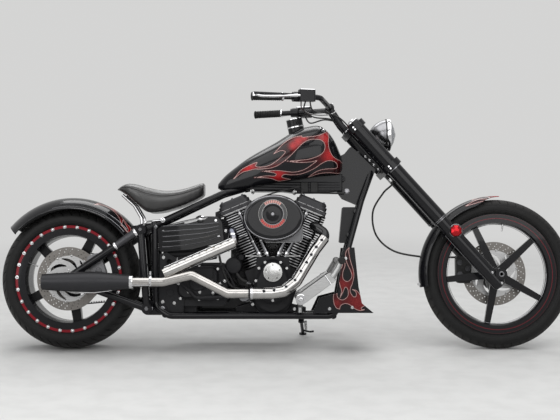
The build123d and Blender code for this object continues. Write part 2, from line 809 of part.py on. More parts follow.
# Fork legs
fork_legs = {}
for name, side in (("right", -1), ("left", 1)):
    with BuildPart() as leg:
        y = side * leg_y
        base = fork_point(0, y, -leg_offset)
        with BuildSketch(Plane(origin=base, x_dir=fork_forward, z_dir=(0, -1, 0))) as section:
            with BuildLine():
                Polyline(
                    (0, -42),
                    (24, -42),
                    (slider_radius, -32),
                    (slider_radius, slider_length),
                    (cover_radius, slider_length),
                    (cover_radius, leg_top - leg_cap_height),
                    (cover_radius - 6, leg_top),
                    (0, leg_top),
                    close=True,
                )
            make_face()
        revolve(section.sketch, axis=Axis(base, fork_up))
        cross_bar(front_axle, axle_lug_radius, y - slider_radius, y + slider_radius)
        cross_bar(front_axle, axle_radius + running_fit, y - 60, y + 60, Mode.SUBTRACT)
    fork_legs[name] = leg


def tree_outline(plane):
    """Plate that joins the two leg clamps and the stem, with the legs' holes."""
    with BuildSketch(plane) as plate:
        with Locations((-leg_offset, leg_y), (-leg_offset, -leg_y)):
            Circle(cover_radius + tree_wall)
        with Locations((-stem_offset, 0)):
            Circle(neck_radius + 4)
        make_hull()
        with Locations((-leg_offset, leg_y), (-leg_offset, -leg_y)):
            Circle(cover_radius + running_fit, mode=Mode.SUBTRACT)
    return plate.sketch


# Trees
with BuildPart() as top_tree:
    extrude(tree_outline(fork_plane(top_tree_at)), amount=top_tree_thickness)
    with BuildSketch(fork_plane(top_tree_at, forward=-stem_offset)) as bore:
        Circle(stem_radius + running_fit)
    extrude(bore.sketch, amount=top_tree_thickness, mode=Mode.SUBTRACT)
with BuildPart() as bottom_tree:
    extrude(tree_outline(fork_plane(bottom_tree_at)), amount=bottom_tree_thickness)
    with BuildSketch(fork_plane(bottom_tree_at, forward=-stem_offset)) as stem:
        Circle(stem_radius)
    extrude(stem.sketch, amount=top_tree_at + top_tree_thickness - bottom_tree_at)

# Handlebar
bar_radius = 12.7
bar_half = [Vector(205, 50, 1128), Vector(150, 290, 1150), Vector(-20, 345, 1146)]
bar_line = [Vector(point.X, -point.Y, point.Z) for point in reversed(bar_half)] + bar_half
with BuildPart() as handlebar:
    bent_tube(bar_line, bar_radius, 60)
    for side in (-1, 1):
        root = fork_point(top_tree_at + top_tree_thickness, side * 45, -stem_offset - 4)
        bent_tube([root, root + fork_up * 42, (205, side * 45, 1128)], 15, 20)

# Grips
grip_radius = 17.0
grip_length = 137.0
with BuildPart() as grips:
    for side in (-1, 1):
        start = Vector(bar_half[2].X, side * bar_half[2].Y, bar_half[2].Z)
        back = Vector(bar_half[1].X, side * bar_half[1].Y, bar_half[1].Z)
        bent_tube([start, start + (start - back).normalized() * grip_length], grip_radius)

# Hand controls
lever_tip = Vector(-148, 432, 1152)
mirror_thread_radius = 4.25
mirror_thread_depth = 20.0
with BuildPart() as hand_controls:
    for side in (-1, 1):
        bent_tube([(26, side * 330, 1147), (60, side * 319, 1148)], 22)
        with BuildSketch(Plane(origin=(90, side * 345, 1150), x_dir=(0.95, -0.31 * side, 0), z_dir=(0, 0, 1))) as box:
            RectangleRounded(74, 40, 8)
        extrude(box.sketch, amount=26, both=True)
        with BuildSketch(Plane(origin=(100, side * 342, 1176), z_dir=(0, 0, 1))) as thread:
            Circle(mirror_thread_radius)
        extrude(thread.sketch, amount=-mirror_thread_depth, mode=Mode.SUBTRACT)
        tip = Vector(lever_tip.X, side * lever_tip.Y, lever_tip.Z)
        bent_tube([(60, side * 360, 1150), (-20, side * 402, 1150), tip], 7, 30)
    bent_tube(bar_line, bar_radius + running_fit, 60, Mode.SUBTRACT)

# Headlight
light_centre = fork_point(825.4, 0, 65.1)
light_radius = 73.0
light_depth = 88.0
lens_height = 34.0
with BuildPart() as headlight_shell:
    with BuildSketch(side_plane(light_centre)) as section:
        with BuildLine():
            Line((0, 0), (0, light_radius))
            ThreePointArc((0, light_radius), (-light_depth * 0.7, light_radius * 0.68), (-light_depth, 16))
            Polyline((-light_depth, 16), (-light_depth - 8, 16), (-light_depth - 8, 0), (0, 0))
        make_face()
    revolve(section.sketch, axis=Axis(light_centre, (1, 0, 0)))
    bent_tube([fork_point(top_tree_at, 0, -4), fork_point(top_tree_at - 56, 0, -4)], 10)
with BuildPart() as headlight_lens:
    with BuildSketch(side_plane(light_centre + Vector(0.1, 0, 0))) as section:
        with BuildLine():
            Polyline((0, 0), (0, light_radius - 5), (10, light_radius - 5))
            ThreePointArc((10, light_radius - 5), (lens_height * 0.78, light_radius * 0.5), (lens_height, 4))
            Polyline((lens_height, 4), (lens_height, 0), (0, 0))
        make_face()
    revolve(section.sketch, axis=Axis(light_centre, (1, 0, 0)))

# Front calliper
with BuildPart() as front_caliper:
    with BuildSketch(side_plane(Vector(front_axle.X - 148, 0, front_axle.Z + 20), front_disc_y - disc_thickness - moving_gap - 16 + 16 + 27)) as body:
        RectangleRounded(72, 130, 18)
    extrude(body.sketch, amount=52)
    cross_bar(fork_point(136, forward=-leg_offset), 10, 68, leg_y - slider_radius - seat_gap)
    with BuildSketch(side_plane(front_axle, front_disc_y + moving_gap)) as slot:
        Circle(front_disc_radius + 6)
    extrude(slot.sketch, amount=disc_thickness + 2 * moving_gap, mode=Mode.SUBTRACT)

# Rear calliper
with BuildPart() as rear_caliper:
    with BuildSketch(side_plane(Vector(rear_axle.X + 132, 0, rear_axle.Z + 60), rear_disc_y + moving_gap + 12)) as body:
        RectangleRounded(64, 110, 18, rotation=20)
    extrude(body.sketch, amount=50)
    with BuildSketch(side_plane(rear_axle, rear_disc_y + moving_gap)) as slot:
        Circle(rear_disc_radius + 6)
    extrude(slot.sketch, amount=disc_thickness + 2 * moving_gap, mode=Mode.SUBTRACT)
    cross_bar(Vector(-874, 0, 412), 11, -arm_half_track + arm_radius + seat_gap, rear_disc_y - 30)

# Brake hose
with BuildPart() as front_brake_hose:
    bent_tube(
        [
            fork_point(bottom_tree_at, 40, -stem_offset),
            fork_point(bottom_tree_at - 60, 40, -stem_offset),
            (395, 45, 680),
            (420, 60, 530),
            (500, 72, 450),
            (680, 82, 425),
            (836, 84, 425),
        ],
        4.5,
        35,
    )

# Exhaust
muffler_z = 314.0
with BuildPart() as exhaust_pipes:
    bent_tube(
        [
            (128, -head_size[1] / 2 - 0.2, 570),
            (128, -128, 570),
            (186, -150, 530),
            (131, -180, 460),
            (42, -224, 314),
            (-12, exhaust_y, 272),
            (-66, exhaust_y, 263),
            (-268, exhaust_y, 263),
            (-432, exhaust_y, 345),
            (-560, exhaust_y, muffler_z),
            (-700 + seat_gap, exhaust_y, muffler_z),
        ],
        pipe_radius,
        30,
    )
    bent_tube(
        [(-255, -head_size[1] / 2 - 0.2, 545), (-255, -140, 545), (-236, -190, 494), (-560, exhaust_y, 352)],
        pipe_radius,
        26,
    )

# Muffler
muffler_profile = ((-700, 30), (-740, 34), (-880, 47), (-1000, 42), (-1109, 35))
with BuildPart() as muffler:
    with BuildSketch(Plane(origin=(0, exhaust_y, muffler_z), x_dir=(1, 0, 0), z_dir=(0, -1, 0))) as section:
        with BuildLine():
            Polyline((-700, 0), *muffler_profile, (-1109, 0), close=True)
        make_face()
    revolve(section.sketch, axis=Axis((0, exhaust_y, muffler_z), (1, 0, 0)))

# Chin spoiler
with BuildPart() as chin_spoiler:
    with BuildSketch(Plane.XZ) as outline:
        with BuildLine():
            Polyline(
                (262, 470),
                (312, 470),
                (330, 290),
                (345, 215),
                (398, 171),
                (117, 171),
                (150, 240),
                (235, 262),
                close=True,
            )
        make_face()
    extrude(outline.sketch, amount=150, both=True)
    with BuildSketch(Plane.XZ) as hollow:
        with BuildLine():
            Polyline(
                (150, 560),
                (302, 560),
                (323, 290),
                (336, 215),
                (362, 190),
                (262, 190),
                (262, 100),
                (60, 100),
                close=True,
            )
        make_face()
    extrude(hollow.sketch, amount=144, both=True, mode=Mode.SUBTRACT)
    for side in (-1, 1):
        cross_bar(Vector(272, 0, 420), 8, *sorted((side * 115.8, side * 146)))

# Forward controls
forward_controls = {}
for name, side in (("right", -1), ("left", 1)):
    with BuildPart() as control:
        pivot = Vector(62, 0, 237)
        bent_tube(
            [
                (62, side * rail_half_track, rail_height + rail_radius + seat_gap),
                (62, side * rail_half_track, 200),
                (62, side * 160, 237),
                (62, side * 200, 237),
            ],
            12,
            14,
        )
        cross_bar(pivot, 14, *sorted((side * 180, side * 300)))
        cross_bar(pivot, 22, *sorted((side * 270, side * 305)))
        bent_tube([(62, side * 288, 237), (209, side * 288, 342)], 20)
        bent_tube([(195, side * 288, 332), (246, side * 288, 416)], 13)
        cross_bar(Vector(246, 0, 410), 14, *sorted((side * 250, side * 330)))
    forward_controls[name] = control

# Side stand
with BuildPart() as side_stand:
    bent_tube([stand_pivot, stand_tip], stand_leg_radius)
    with BuildSketch(Plane(origin=foot, x_dir=(1, 0, 0), z_dir=floor_up)) as pad:
        Circle(stand_pad_radius)
    extrude(pad.sketch, amount=stand_pad_thickness)
    eye_plane = Plane(origin=stand_pivot - stand_turn * stand_eye_half, z_dir=stand_turn)
    with BuildSketch(eye_plane) as eye:
        Circle(stand_eye_radius)
    extrude(eye.sketch, amount=2 * stand_eye_half)
    with BuildSketch(eye_plane) as bore:
        Circle(stand_pin_radius + running_fit)
    extrude(bore.sketch, amount=2 * stand_eye_half, mode=Mode.SUBTRACT)

middle_y = lever_tip.Z * sin(radians(lean_angle))
lean = Pos(0, -middle_y, 0) * Rot(-lean_angle, 0, 0)
pieces = {
    "frame": frame,
    "swingarm": swingarm,
    "rear_axle": rear_axle_bar,
    "oil_tank": oil_tank,
    "fuel_tank": fuel_tank,
    "speedometer": speedometer,
    "saddle": saddle,
    "saddle_strap": saddle_strap,
    "rear_fender": rear_fender,
    "regulator": regulator,
    "crankcase": crankcase,
    "cam_cover": cam_cover,
    "cylinder_front": cylinders["front"],
    "cylinder_rear": cylinders["rear"],
    "rocker_box_front": rocker_boxes["front"],
    "rocker_box_rear": rocker_boxes["rear"],
    "pushrod_tubes": pushrod_tubes,
    "air_cleaner": air_cleaner,
    "intake": intake,
    "primary_cover": primary_cover,
    "transmission": transmission,
    "drive_belt": drive_belt,
    "exhaust_pipes": exhaust_pipes,
    "muffler": muffler,
    "chin_spoiler": chin_spoiler,
    "forward_control_right": forward_controls["right"],
    "forward_control_left": forward_controls["left"],
    "rear_caliper": rear_caliper,
    "top_tree": top_tree,
    "bottom_tree": bottom_tree,
    "fork_leg_right": fork_legs["right"],
    "fork_leg_left": fork_legs["left"],
    "handlebar": handlebar,
    "grips": grips,
    "hand_controls": hand_controls,
    "headlight_shell": headlight_shell,
    "headlight_lens": headlight_lens,
    "front_fender": front_fender,
    "front_caliper": front_caliper,
    "front_brake_hose": front_brake_hose,
    "front_axle": front_axle_bar,
    "front_tyre": front_tyre,
    "front_rim": front_rim,
    "front_disc": front_disc,
    "rear_tyre": rear_tyre,
    "rear_rim": rear_rim,
    "rear_disc": rear_disc,
    "rear_pulley": rear_pulley,
    "side_stand": side_stand,
}
for name, piece in pieces.items():
    piece.part.label = name
    export_step(lean * piece.part, f"parts/{name}.step")
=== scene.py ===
"""Looks of the long raked V-twin chopper: its finishes, fine pieces, light and camera.

The pieces are drawn in the machine's own upright millimetres, x forward, y to the rider's left and
z up, and are leaned onto the side stand with the frame when their meshes are made.
"""

from __future__ import annotations

import logging
import math
from dataclasses import dataclass
from enum import Enum
from typing import Callable, Iterable, Sequence

import bmesh
import bpy
import numpy as np
from mathutils import Matrix, Vector
from mathutils.geometry import delaunay_2d_cdt


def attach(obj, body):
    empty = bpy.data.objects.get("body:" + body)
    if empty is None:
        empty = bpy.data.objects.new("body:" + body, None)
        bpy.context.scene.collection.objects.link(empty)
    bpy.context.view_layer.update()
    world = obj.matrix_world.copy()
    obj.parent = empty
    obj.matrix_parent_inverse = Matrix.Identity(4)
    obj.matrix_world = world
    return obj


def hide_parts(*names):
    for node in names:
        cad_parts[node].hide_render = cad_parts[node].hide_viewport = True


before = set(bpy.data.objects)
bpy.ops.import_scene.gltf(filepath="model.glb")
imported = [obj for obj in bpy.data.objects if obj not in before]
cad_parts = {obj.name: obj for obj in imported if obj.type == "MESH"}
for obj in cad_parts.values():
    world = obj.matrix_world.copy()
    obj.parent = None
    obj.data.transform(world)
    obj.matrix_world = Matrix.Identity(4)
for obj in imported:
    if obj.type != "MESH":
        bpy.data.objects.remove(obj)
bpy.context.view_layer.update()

log = logging.getLogger("chopper")

Color = tuple[float, float, float]
Point = tuple[float, float, float]
Flat = tuple[float, float]

MM = 0.001
MERGE_GAP = 0.004
LEAN = math.radians(8.0)
SHIFT = 1152.0 * math.sin(LEAN)
UPRIGHT = Matrix.Translation((0.0, -SHIFT * MM, 0.0)) @ Matrix.Rotation(-LEAN, 4, "X") @ Matrix.Scale(MM, 4)
REAR_AXLE: Point = (-1009.0, 0.0, 326.5)
FRONT_AXLE: Point = (987.0, 0.0, 347.9)
RAKE = math.radians(42.0)
CRANK: Flat = (-64.0, 235.0)
CYLINDER_TILT = 22.5
FORK_UP = Vector((-math.sin(RAKE), 0.0, math.cos(RAKE)))
FORK_FORWARD = Vector((math.cos(RAKE), 0.0, math.sin(RAKE)))
EYE_X, EYE_DISTANCE, EYE_HEIGHT = -31.0, 6000.0, 1260.0


class Body(Enum):
    """The moving bodies of the machine."""

    CHASSIS = "chassis"
    STEERING = "steering"
    FRONT_WHEEL = "front_wheel"
    REAR_WHEEL = "rear_wheel"
    STAND = "side_stand"


class Side(Enum):
    """A side of the machine, by the sign of y."""

    RIGHT = -1
    LEFT = 1


class Head(Enum):
    """Kinds of bolt head."""

    HEX = "hex"
    SOCKET = "socket"
    DOME = "dome"


def fork(along: float, y: float = 0.0, forward: float = 0.0) -> Vector:
    """Gives a point of the fork.

    Args:
        along: Distance up the legs from the front axle.
        y: Distance to the left.
        forward: Distance square to the legs.

    Returns:
        The point in machine millimetres.
    """
    return Vector(FRONT_AXLE) + FORK_UP * along + FORK_FORWARD * forward + Vector((0.0, y, 0.0))


def facing(x: float, y: float, z: float, side: Side = Side.RIGHT, turn: float = 0.0) -> Matrix:
    """Places a local frame on a side of the machine, its z pointing outward and its y up.

    Args:
        x: Place along the machine.
        y: Place across it.
        z: Height.
        side: Side that the local z points to.
        turn: Turn in degrees about the local z.

    Returns:
        The local frame.
    """
    out = Vector((0.0, float(side.value), 0.0))
    across = Vector((0.0, 0.0, 1.0)).cross(out)
    base = Matrix((across, (0.0, 0.0, 1.0), out)).transposed().to_4x4()
    return Matrix.Translation((x, y, z)) @ base @ Matrix.Rotation(math.radians(turn), 4, "Z")


def along(
    origin: Sequence[float], direction: Sequence[float], roll: Sequence[float] = (0.0, 0.0, 1.0)
) -> Matrix:
    """Places a local frame whose z runs along a direction.

    Args:
        origin: Its place.
        direction: Direction of its z.
        roll: A direction that its x is square to.

    Returns:
        The local frame.
    """
    axis = Vector(direction).normalized()
    across = Vector(roll).cross(axis)
    if across.length < 1e-4:
        across = Vector((0.0, 1.0, 0.0)).cross(axis)
    across.normalize()
    rows = Matrix((across, axis.cross(across), axis)).transposed().to_4x4()
    return Matrix.Translation(Vector(origin)) @ rows


def curve(points: Sequence[Sequence[float]], steps: int = 10, closed: bool = False) -> list[Vector]:
    """Draws a smooth line through points.

    Args:
        points: The points that it passes.
        steps: Stretches between two points.
        closed: Whether it returns to its start.

    Returns:
        The line's own points.
    """
    held = [Vector(tuple(point) + (0.0,) * (3 - len(point))) for point in points]
    count = len(held)
    line: list[Vector] = []
    for index in range(count if closed else count - 1):
        if closed:
            a, b, c, d = (held[(index + shift) % count] for shift in (-1, 0, 1, 2))
        else:
            a, b = held[max(index - 1, 0)], held[index]
            c, d = held[index + 1], held[min(index + 2, count - 1)]
        for step in range(steps):
            t = step / steps
            square, cube = 2 * a - 5 * b + 4 * c - d, 3 * b - a - 3 * c + d
            line.append(0.5 * ((2 * b) + (c - a) * t + square * t * t + cube * t**3))
    if not closed:
        line.append(held[-1])
    return line


def math_node(operation: str, swapped: bool = False) -> Callable[..., Socket]:
    """Makes an operator of the sockets.

    Args:
        operation: What its Math node does.
        swapped: Whether the other value comes first.

    Returns:
        The operator.
    """

    def apply(socket: Socket, *others: Value) -> Socket:
        """Adds the node for a socket and other values."""
        values = (*others, socket) if swapped else (socket, *others)
        return socket.graph.node("ShaderNodeMath", {"operation": operation}, dict(enumerate(values)))

    return apply


class Socket:
    """One output of a shader node, written in expressions like a number."""

    def __init__(self, graph: Graph, link: bpy.types.NodeSocket | None) -> None:
        """Keeps the output and the graph that it belongs to."""
        self.graph = graph
        self.link = link

    __add__ = math_node("ADD")
    __radd__ = math_node("ADD", True)
    __sub__ = math_node("SUBTRACT")
    __rsub__ = math_node("SUBTRACT", True)
    __mul__ = math_node("MULTIPLY")
    __rmul__ = math_node("MULTIPLY", True)
    __truediv__ = math_node("DIVIDE")
    __rtruediv__ = math_node("DIVIDE", True)
    __pow__ = math_node("POWER")
    __abs__ = math_node("ABSOLUTE")
    sine = math_node("SINE")
    wrap = math_node("FLOORED_MODULO")
    angle_over = math_node("ARCTAN2")

    def ramp(self, start: float, end: float) -> Socket:
        """Rises smoothly from 0 at the start to 1 at the end.

        Args:
            start: Value where the result is 0.
            end: Value where the result is 1; it may lie below the start.

        Returns:
            The eased value.
        """
        low, high = (0.0, 1.0) if start < end else (1.0, 0.0)
        return self.graph.node(
            "ShaderNodeMapRange",
            {"interpolation_type": "SMOOTHSTEP"},
            {0: self, 1: min(start, end), 2: max(start, end), 3: low, 4: high},
        )

    def band(self, centre: float, half: float, soft: float) -> Socket:
        """Gives 1 near a value and 0 away from it.

        Args:
            centre: Middle of the band.
            half: Half its width.
            soft: Width of its soft edge.

        Returns:
            The band's mask.
        """
        return abs(self - centre).ramp(half + soft / 2, half - soft / 2)

    def also(self, output: str) -> Socket:
        """Gives another output of the same node."""
        return Socket(self.graph, self.link.node.outputs[output])


Value = Socket | float | Sequence[float]


class Graph:
    """The node tree of a material or of the surround."""

    def __init__(self, owner: bpy.types.Material | bpy.types.World) -> None:
        """Empties the owner's tree."""
        self.owner = owner
        owner.use_nodes = True
        self.tree = owner.node_tree
        self.tree.nodes.clear()

    def node(
        self,
        kind: str,
        settings: dict[str, object] | None = None,
        inputs: dict[str | int, Value] | None = None,
        output: str | int = 0,
    ) -> Socket:
        """Adds a node.

        Args:
            kind: Its type.
            settings: Its settings, a ramp's stops among them, set before its inputs.
            inputs: Numbers, colours or links for its sockets.
            output: The output to give back.

        Returns:
            That output.
        """
        made = self.tree.nodes.new(kind)
        for key, value in (settings or {}).items():
            if key == "stops":
                ramp = made.color_ramp.elements
                for index, (place, shade) in enumerate(value):
                    stop = ramp[index] if index < 2 else ramp.new(place)
                    stop.position, stop.color = place, (*shade, 1.0)
            else:
                setattr(made, key, value)
        for key, value in (inputs or {}).items():
            self.feed(made.inputs[key], value)
        return Socket(self, made.outputs[output] if len(made.outputs) else None)

    def feed(self, socket: bpy.types.NodeSocket, value: Value) -> None:
        """Links or sets one input.

        Args:
            socket: The input.
            value: A link, number or colour; a colour of three gets full alpha.
        """
        if isinstance(value, Socket):
            self.tree.links.new(value.link, socket)
        elif isinstance(value, (tuple, list)) and socket.type == "RGBA":
            socket.default_value = (*value[:3], 1.0)
        else:
            socket.default_value = value

    def place(self) -> Socket:
        """Gives the place on the upright machine in millimetres, the same for every piece."""
        at = self.node("ShaderNodeTexCoord", output="Object")
        offset = (0.0, SHIFT * math.cos(LEAN), SHIFT * math.sin(LEAN))
        return self.node(
            "ShaderNodeMapping",
            {},
            {"Vector": at, "Location": offset, "Rotation": (LEAN, 0.0, 0.0), "Scale": (1000.0,) * 3},
        )

    def spread(self, at: Socket, scale: Point) -> Socket:
        """Stretches a place by a factor along each axis."""
        return self.node("ShaderNodeMapping", {}, {"Vector": at, "Scale": scale})

    def parts(self, at: Socket) -> tuple[Socket, Socket, Socket]:
        """Splits a place into x, y and z."""
        x = self.node("ShaderNodeSeparateXYZ", {}, {0: at})
        return x, x.also("Y"), x.also("Z")

    def polar(self, at: Socket, centre: Point) -> tuple[Socket, Socket, Socket]:
        """Measures a place from a wheel's axle.

        Args:
            at: The place.
            centre: The axle.

        Returns:
            The radius, the angle in radians, and the place across.
        """
        x, y, z = self.parts(at)
        x, z = x - centre[0], z - centre[2]
        return (x * x + z * z) ** 0.5, z.angle_over(x), y

    def noise(self, at: Socket, size: float, detail: float = 3.0, rough: float = 0.55) -> Socket:
        """Adds clouded noise.

        Args:
            at: Place that it follows.
            size: Size of its features in millimetres.
            detail: Number of finer layers.
            rough: Strength of the finer layers.

        Returns:
            A value from 0 to 1.
        """
        return self.node(
            "ShaderNodeTexNoise", {},
            {"Vector": at, "Scale": 1.0 / size, "Detail": detail, "Roughness": rough},
        )

    def cells(self, at: Socket, size: float, feature: str = "F1", output: str = "Distance") -> Socket:
        """Adds a pattern of cells.

        Args:
            at: Place that it follows.
            size: Size of a cell in millimetres.
            feature: Which distance of the pattern.
            output: Which output.

        Returns:
            The chosen output.
        """
        return self.node(
            "ShaderNodeTexVoronoi", {"feature": feature}, {"Vector": at, "Scale": 1.0 / size}, output
        )

    def mix(self, a: Value, b: Value, factor: Value) -> Socket:
        """Mixes two colours by a factor."""
        return self.node("ShaderNodeMix", {"data_type": "RGBA"}, {0: factor, 6: a, 7: b}, 2)

    def bump(self, height: Socket, depth: float, before: Socket | None = None) -> Socket:
        """Raises the surface.

        Args:
            height: Height from 0 to 1.
            depth: Depth in millimetres.
            before: Another bump below this one.

        Returns:
            The bent normal.
        """
        inputs: dict[str | int, Value] = {"Height": height, "Distance": depth * MM, "Strength": 1.0}
        if before is not None:
            inputs["Normal"] = before
        return self.node("ShaderNodeBump", {}, inputs)

    def close(self, values: dict[str, Value]) -> bpy.types.Material:
        """Ends the tree with its shader.

        Args:
            values: Inputs of the shader by name.

        Returns:
            The material.
        """
        shader = self.node("ShaderNodeBsdfPrincipled", {}, values)
        self.node("ShaderNodeOutputMaterial", {}, {"Surface": shader})
        return self.owner


MADE: dict[str, bpy.types.Material] = {}


@dataclass(frozen=True)
class Finish:
    """A surface finish; each kind says how its colour, gloss and relief vary."""

    name: str
    color: Color
    roughness: float = 0.4
    slot: str = "dark_metal"

    def shade(self, graph: Graph) -> dict[str, Value]:
        """Gives the shader inputs that this finish changes."""
        return {}

    def material(self) -> bpy.types.Material:
        """Makes the material once and gives it back each time."""
        if self.name not in MADE:
            graph = Graph(bpy.data.materials.new(self.name))
            MADE[self.name] = graph.close(
                {"Base Color": self.color, "Roughness": self.roughness, **self.shade(graph)}
            )
        return MADE[self.name]


@dataclass(frozen=True)
class Lacquer(Finish):
    """Deep gloss paint under a clear coat, with faint flow marks and dust."""

    slot: str = "black_paint"
    coat: float = 0.32
    flake: float = 0.0

    def layers(self, graph: Graph, at: Socket) -> Value:
        """Gives the colour below the clear coat.

        Args:
            graph: The tree in the making.
            at: Place on the machine.

        Returns:
            The colour.
        """
        cloud = graph.noise(at, 160.0, 2.0)
        light = tuple(channel * 1.5 + 0.002 for channel in self.color)
        tone = graph.mix(self.color, light, cloud)
        if self.flake:
            speck = graph.cells(at, 1.1, output="Color")
            glint = graph.parts(speck)[0] ** 6.0
            tone = graph.mix(
                tone, tuple(min(1.0, channel * 3 + 0.05) for channel in self.color), glint * self.flake
            )
        return tone

    def shade(self, graph: Graph) -> dict[str, Value]:
        """Gives clear coat, flow marks and a little dust."""
        at = graph.place()
        dust = graph.noise(at, 9.0, 5.0, 0.7).ramp(0.55, 0.85)
        flow = graph.noise(at, 2.4, 1.0)
        return {
            "Base Color": self.layers(graph, at),
            "Roughness": self.roughness + dust * 0.12,
            "Coat Weight": self.coat,
            "Coat Roughness": 0.03,
            "Specular IOR Level": 0.1,
            "Normal": graph.bump(flow, 0.012),
        }


@dataclass(frozen=True)
class RimLacquer(Lacquer):
    """Gloss black rim paint with a red ring and fine pinstripes round its lip."""

    centre: Point = REAR_AXLE
    ring: Flat = (234.0, 252.0)
    ring_color: Color = (0.17, 0.006, 0.012)
    stripes: tuple[float, ...] = ()
    reach: float = 100.0

    def layers(self, graph: Graph, at: Socket) -> Value:
        """Adds the ring and the pinstripes to the black."""
        tone = super().layers(graph, at)
        radius, _, across = graph.polar(at, self.centre)
        outside = abs(across).ramp(self.reach - 1.0, self.reach)
        red = radius.band(sum(self.ring) / 2, (self.ring[1] - self.ring[0]) / 2, 0.8) * outside
        tone = graph.mix(tone, self.ring_color, red)
        for place in self.stripes:
            tone = graph.mix(tone, (0.14, 0.008, 0.014), radius.band(place, 1.3, 0.8))
        return tone


@dataclass(frozen=True)
class FlameLacquer(Lacquer):
    """Gloss black with licks of red flame and a pale hand-drawn outline round them."""

    slot: str = "flame_paint"
    outline: float = 1.9
    red: Color = (0.34, 0.010, 0.014)

    def layers(self, graph: Graph, at: Socket) -> Value:
        """Reads the distance to the flame's edge that the mesh carries and lays the colours by it."""
        base = super().layers(graph, at)
        distance = graph.node("ShaderNodeAttribute", {"attribute_name": "lick_gap"}, {}, "Fac")
        heat = graph.node("ShaderNodeAttribute", {"attribute_name": "lick_red"}, {}, "Fac")
        speck = graph.parts(graph.cells(at, 1.0, output="Color"))[0] ** 5.0
        deep = graph.mix((0.014, 0.002, 0.003), self.red, heat)
        deep = graph.mix(deep, (0.13, 0.006, 0.010), distance.ramp(-4.0, -1.0) * 0.35)
        deep = graph.mix(deep, (0.75, 0.12, 0.09), speck * heat * 0.35)
        tone = graph.mix(base, deep, distance.ramp(0.35, -0.35))
        shadow = distance.band(self.outline + 1.6, 1.2, 1.2)
        tone = graph.mix(tone, (0.03, 0.004, 0.005), shadow * 0.7)
        return graph.mix(tone, (0.46, 0.30, 0.28), distance.band(0.6, self.outline / 2, 0.7))


@dataclass(frozen=True)
class CastMetal(Finish):
    """Wrinkled or sand-cast metal with a soft sheen and rubbed high spots."""

    slot: str = "cast_black"
    grain: float = 0.9
    depth: float = 0.12
    metallic: float = 0.35

    def shade(self, graph: Graph) -> dict[str, Value]:
        """Gives the grain, its relief and a mottled gloss."""
        at = graph.place()
        grain = graph.noise(at, self.grain, 2.0, 0.6)
        cloud = graph.noise(at, 45.0, 3.0)
        bright = tuple(min(1.0, channel * 1.9 + 0.004) for channel in self.color)
        return {
            "Specular IOR Level": 0.22,
            "Base Color": graph.mix(self.color, bright, grain.ramp(0.4, 0.8) * 0.5 + cloud * 0.25),
            "Roughness": self.roughness - 0.1 + cloud * 0.2,
            "Metallic": self.metallic,
            "Normal": graph.bump(grain, self.depth),
        }


@dataclass(frozen=True)
class FinnedCast(CastMetal):
    """Black finned casting whose fin edges are machined bright."""

    tilt: float = CYLINDER_TILT
    barrel: float = 83.0
    head: Flat = (84.8, 88.9)
    edge_color: Color = (0.42, 0.42, 0.43)

    def shade(self, graph: Graph) -> dict[str, Value]:
        """Finds the fins' outer edges by their distance from the cylinder's axis."""
        values = super().shade(graph)
        x, y, z = graph.parts(graph.place())
        x, z = x - CRANK[0], z - CRANK[1]
        sin, cos = math.sin(math.radians(self.tilt)), math.cos(math.radians(self.tilt))
        out, up = x * cos - z * sin, x * sin + z * cos
        round_edge = ((out * out + y * y) ** 0.5).ramp(self.barrel - 0.3, self.barrel + 0.3)
        side_edge = abs(out).ramp(self.head[0] - 0.3, self.head[0] + 0.3)
        flat_edge = side_edge + abs(y).ramp(self.head[1] - 0.3, self.head[1] + 0.3)
        upper = up.ramp(321.0, 323.0)
        bright = flat_edge * upper + round_edge * (1.0 - upper)
        return {
            **values,
            "Base Color": graph.mix(values["Base Color"], self.edge_color, bright),
            "Metallic": self.metallic + bright * 0.6,
            "Roughness": self.roughness - bright * 0.15,
        }


@dataclass(frozen=True)
class BrightMetal(Finish):
    """Plated or polished metal with faint handling smears and fine swirls."""

    slot: str = "chrome"
    smear: float = 0.08
    ripple: float = 0.01

    def shade(self, graph: Graph) -> dict[str, Value]:
        """Gives the plating, its smears and a slight ripple."""
        at = graph.place()
        smear = graph.noise(at, 30.0, 5.0, 0.65).ramp(0.42, 0.75)
        fine = graph.noise(at, 5.0, 2.0)
        dull = tuple(channel * 0.78 for channel in self.color)
        return {
            "Base Color": graph.mix(self.color, dull, smear),
            "Roughness": self.roughness + smear * self.smear,
            "Metallic": 1.0,
            "Normal": graph.bump(fine, self.ripple),
        }


@dataclass(frozen=True)
class HeatedSteel(BrightMetal):
    """Polished exhaust steel that has taken on straw and blue near the ports, with painted shade on the pipe
    under the front shield.
    """

    hot: tuple[Point, ...] = ((128.0, -110.0, 570.0), (-255.0, -110.0, 545.0))
    reach: float = 190.0
    painted_shade_from: float = -176.0

    def shade(self, graph: Graph) -> dict[str, Value]:
        """Tints the steel by its distance from the ports, paints shade on the pipe under the front shield and
        darkens the front pipe near its port.
        """
        values = super().shade(graph)
        at = graph.place()
        tone = values["Base Color"]
        for port in self.hot:
            gap = graph.node("ShaderNodeVectorMath", {"operation": "DISTANCE"}, {0: at, 1: port}, "Value")
            tone = graph.mix(tone, (0.40, 0.32, 0.20), gap.band(self.reach * 0.85, 30.0, 60.0) * 0.5)
            tone = graph.mix(tone, (0.09, 0.10, 0.14), gap.ramp(self.reach * 0.70, self.reach * 0.35) * 0.85)
        x, _, z = graph.parts(at)
        # Painted shade: forward of this x, under the front shield, the pipe is darkened near black so that
        # the shield's openings show shade.
        tone = graph.mix(tone, (0.035, 0.035, 0.037), x.ramp(self.painted_shade_from, self.painted_shade_from + 4.0))
        # The front pipe near its port, above z 514, is darkened further and made less metallic.
        port = x.ramp(40.0, 60.0) * z.ramp(508.0, 520.0)
        return {
            **values, "Base Color": graph.mix(tone, (0.01, 0.01, 0.011), port), "Metallic": 1.0 - port * 0.8
        }


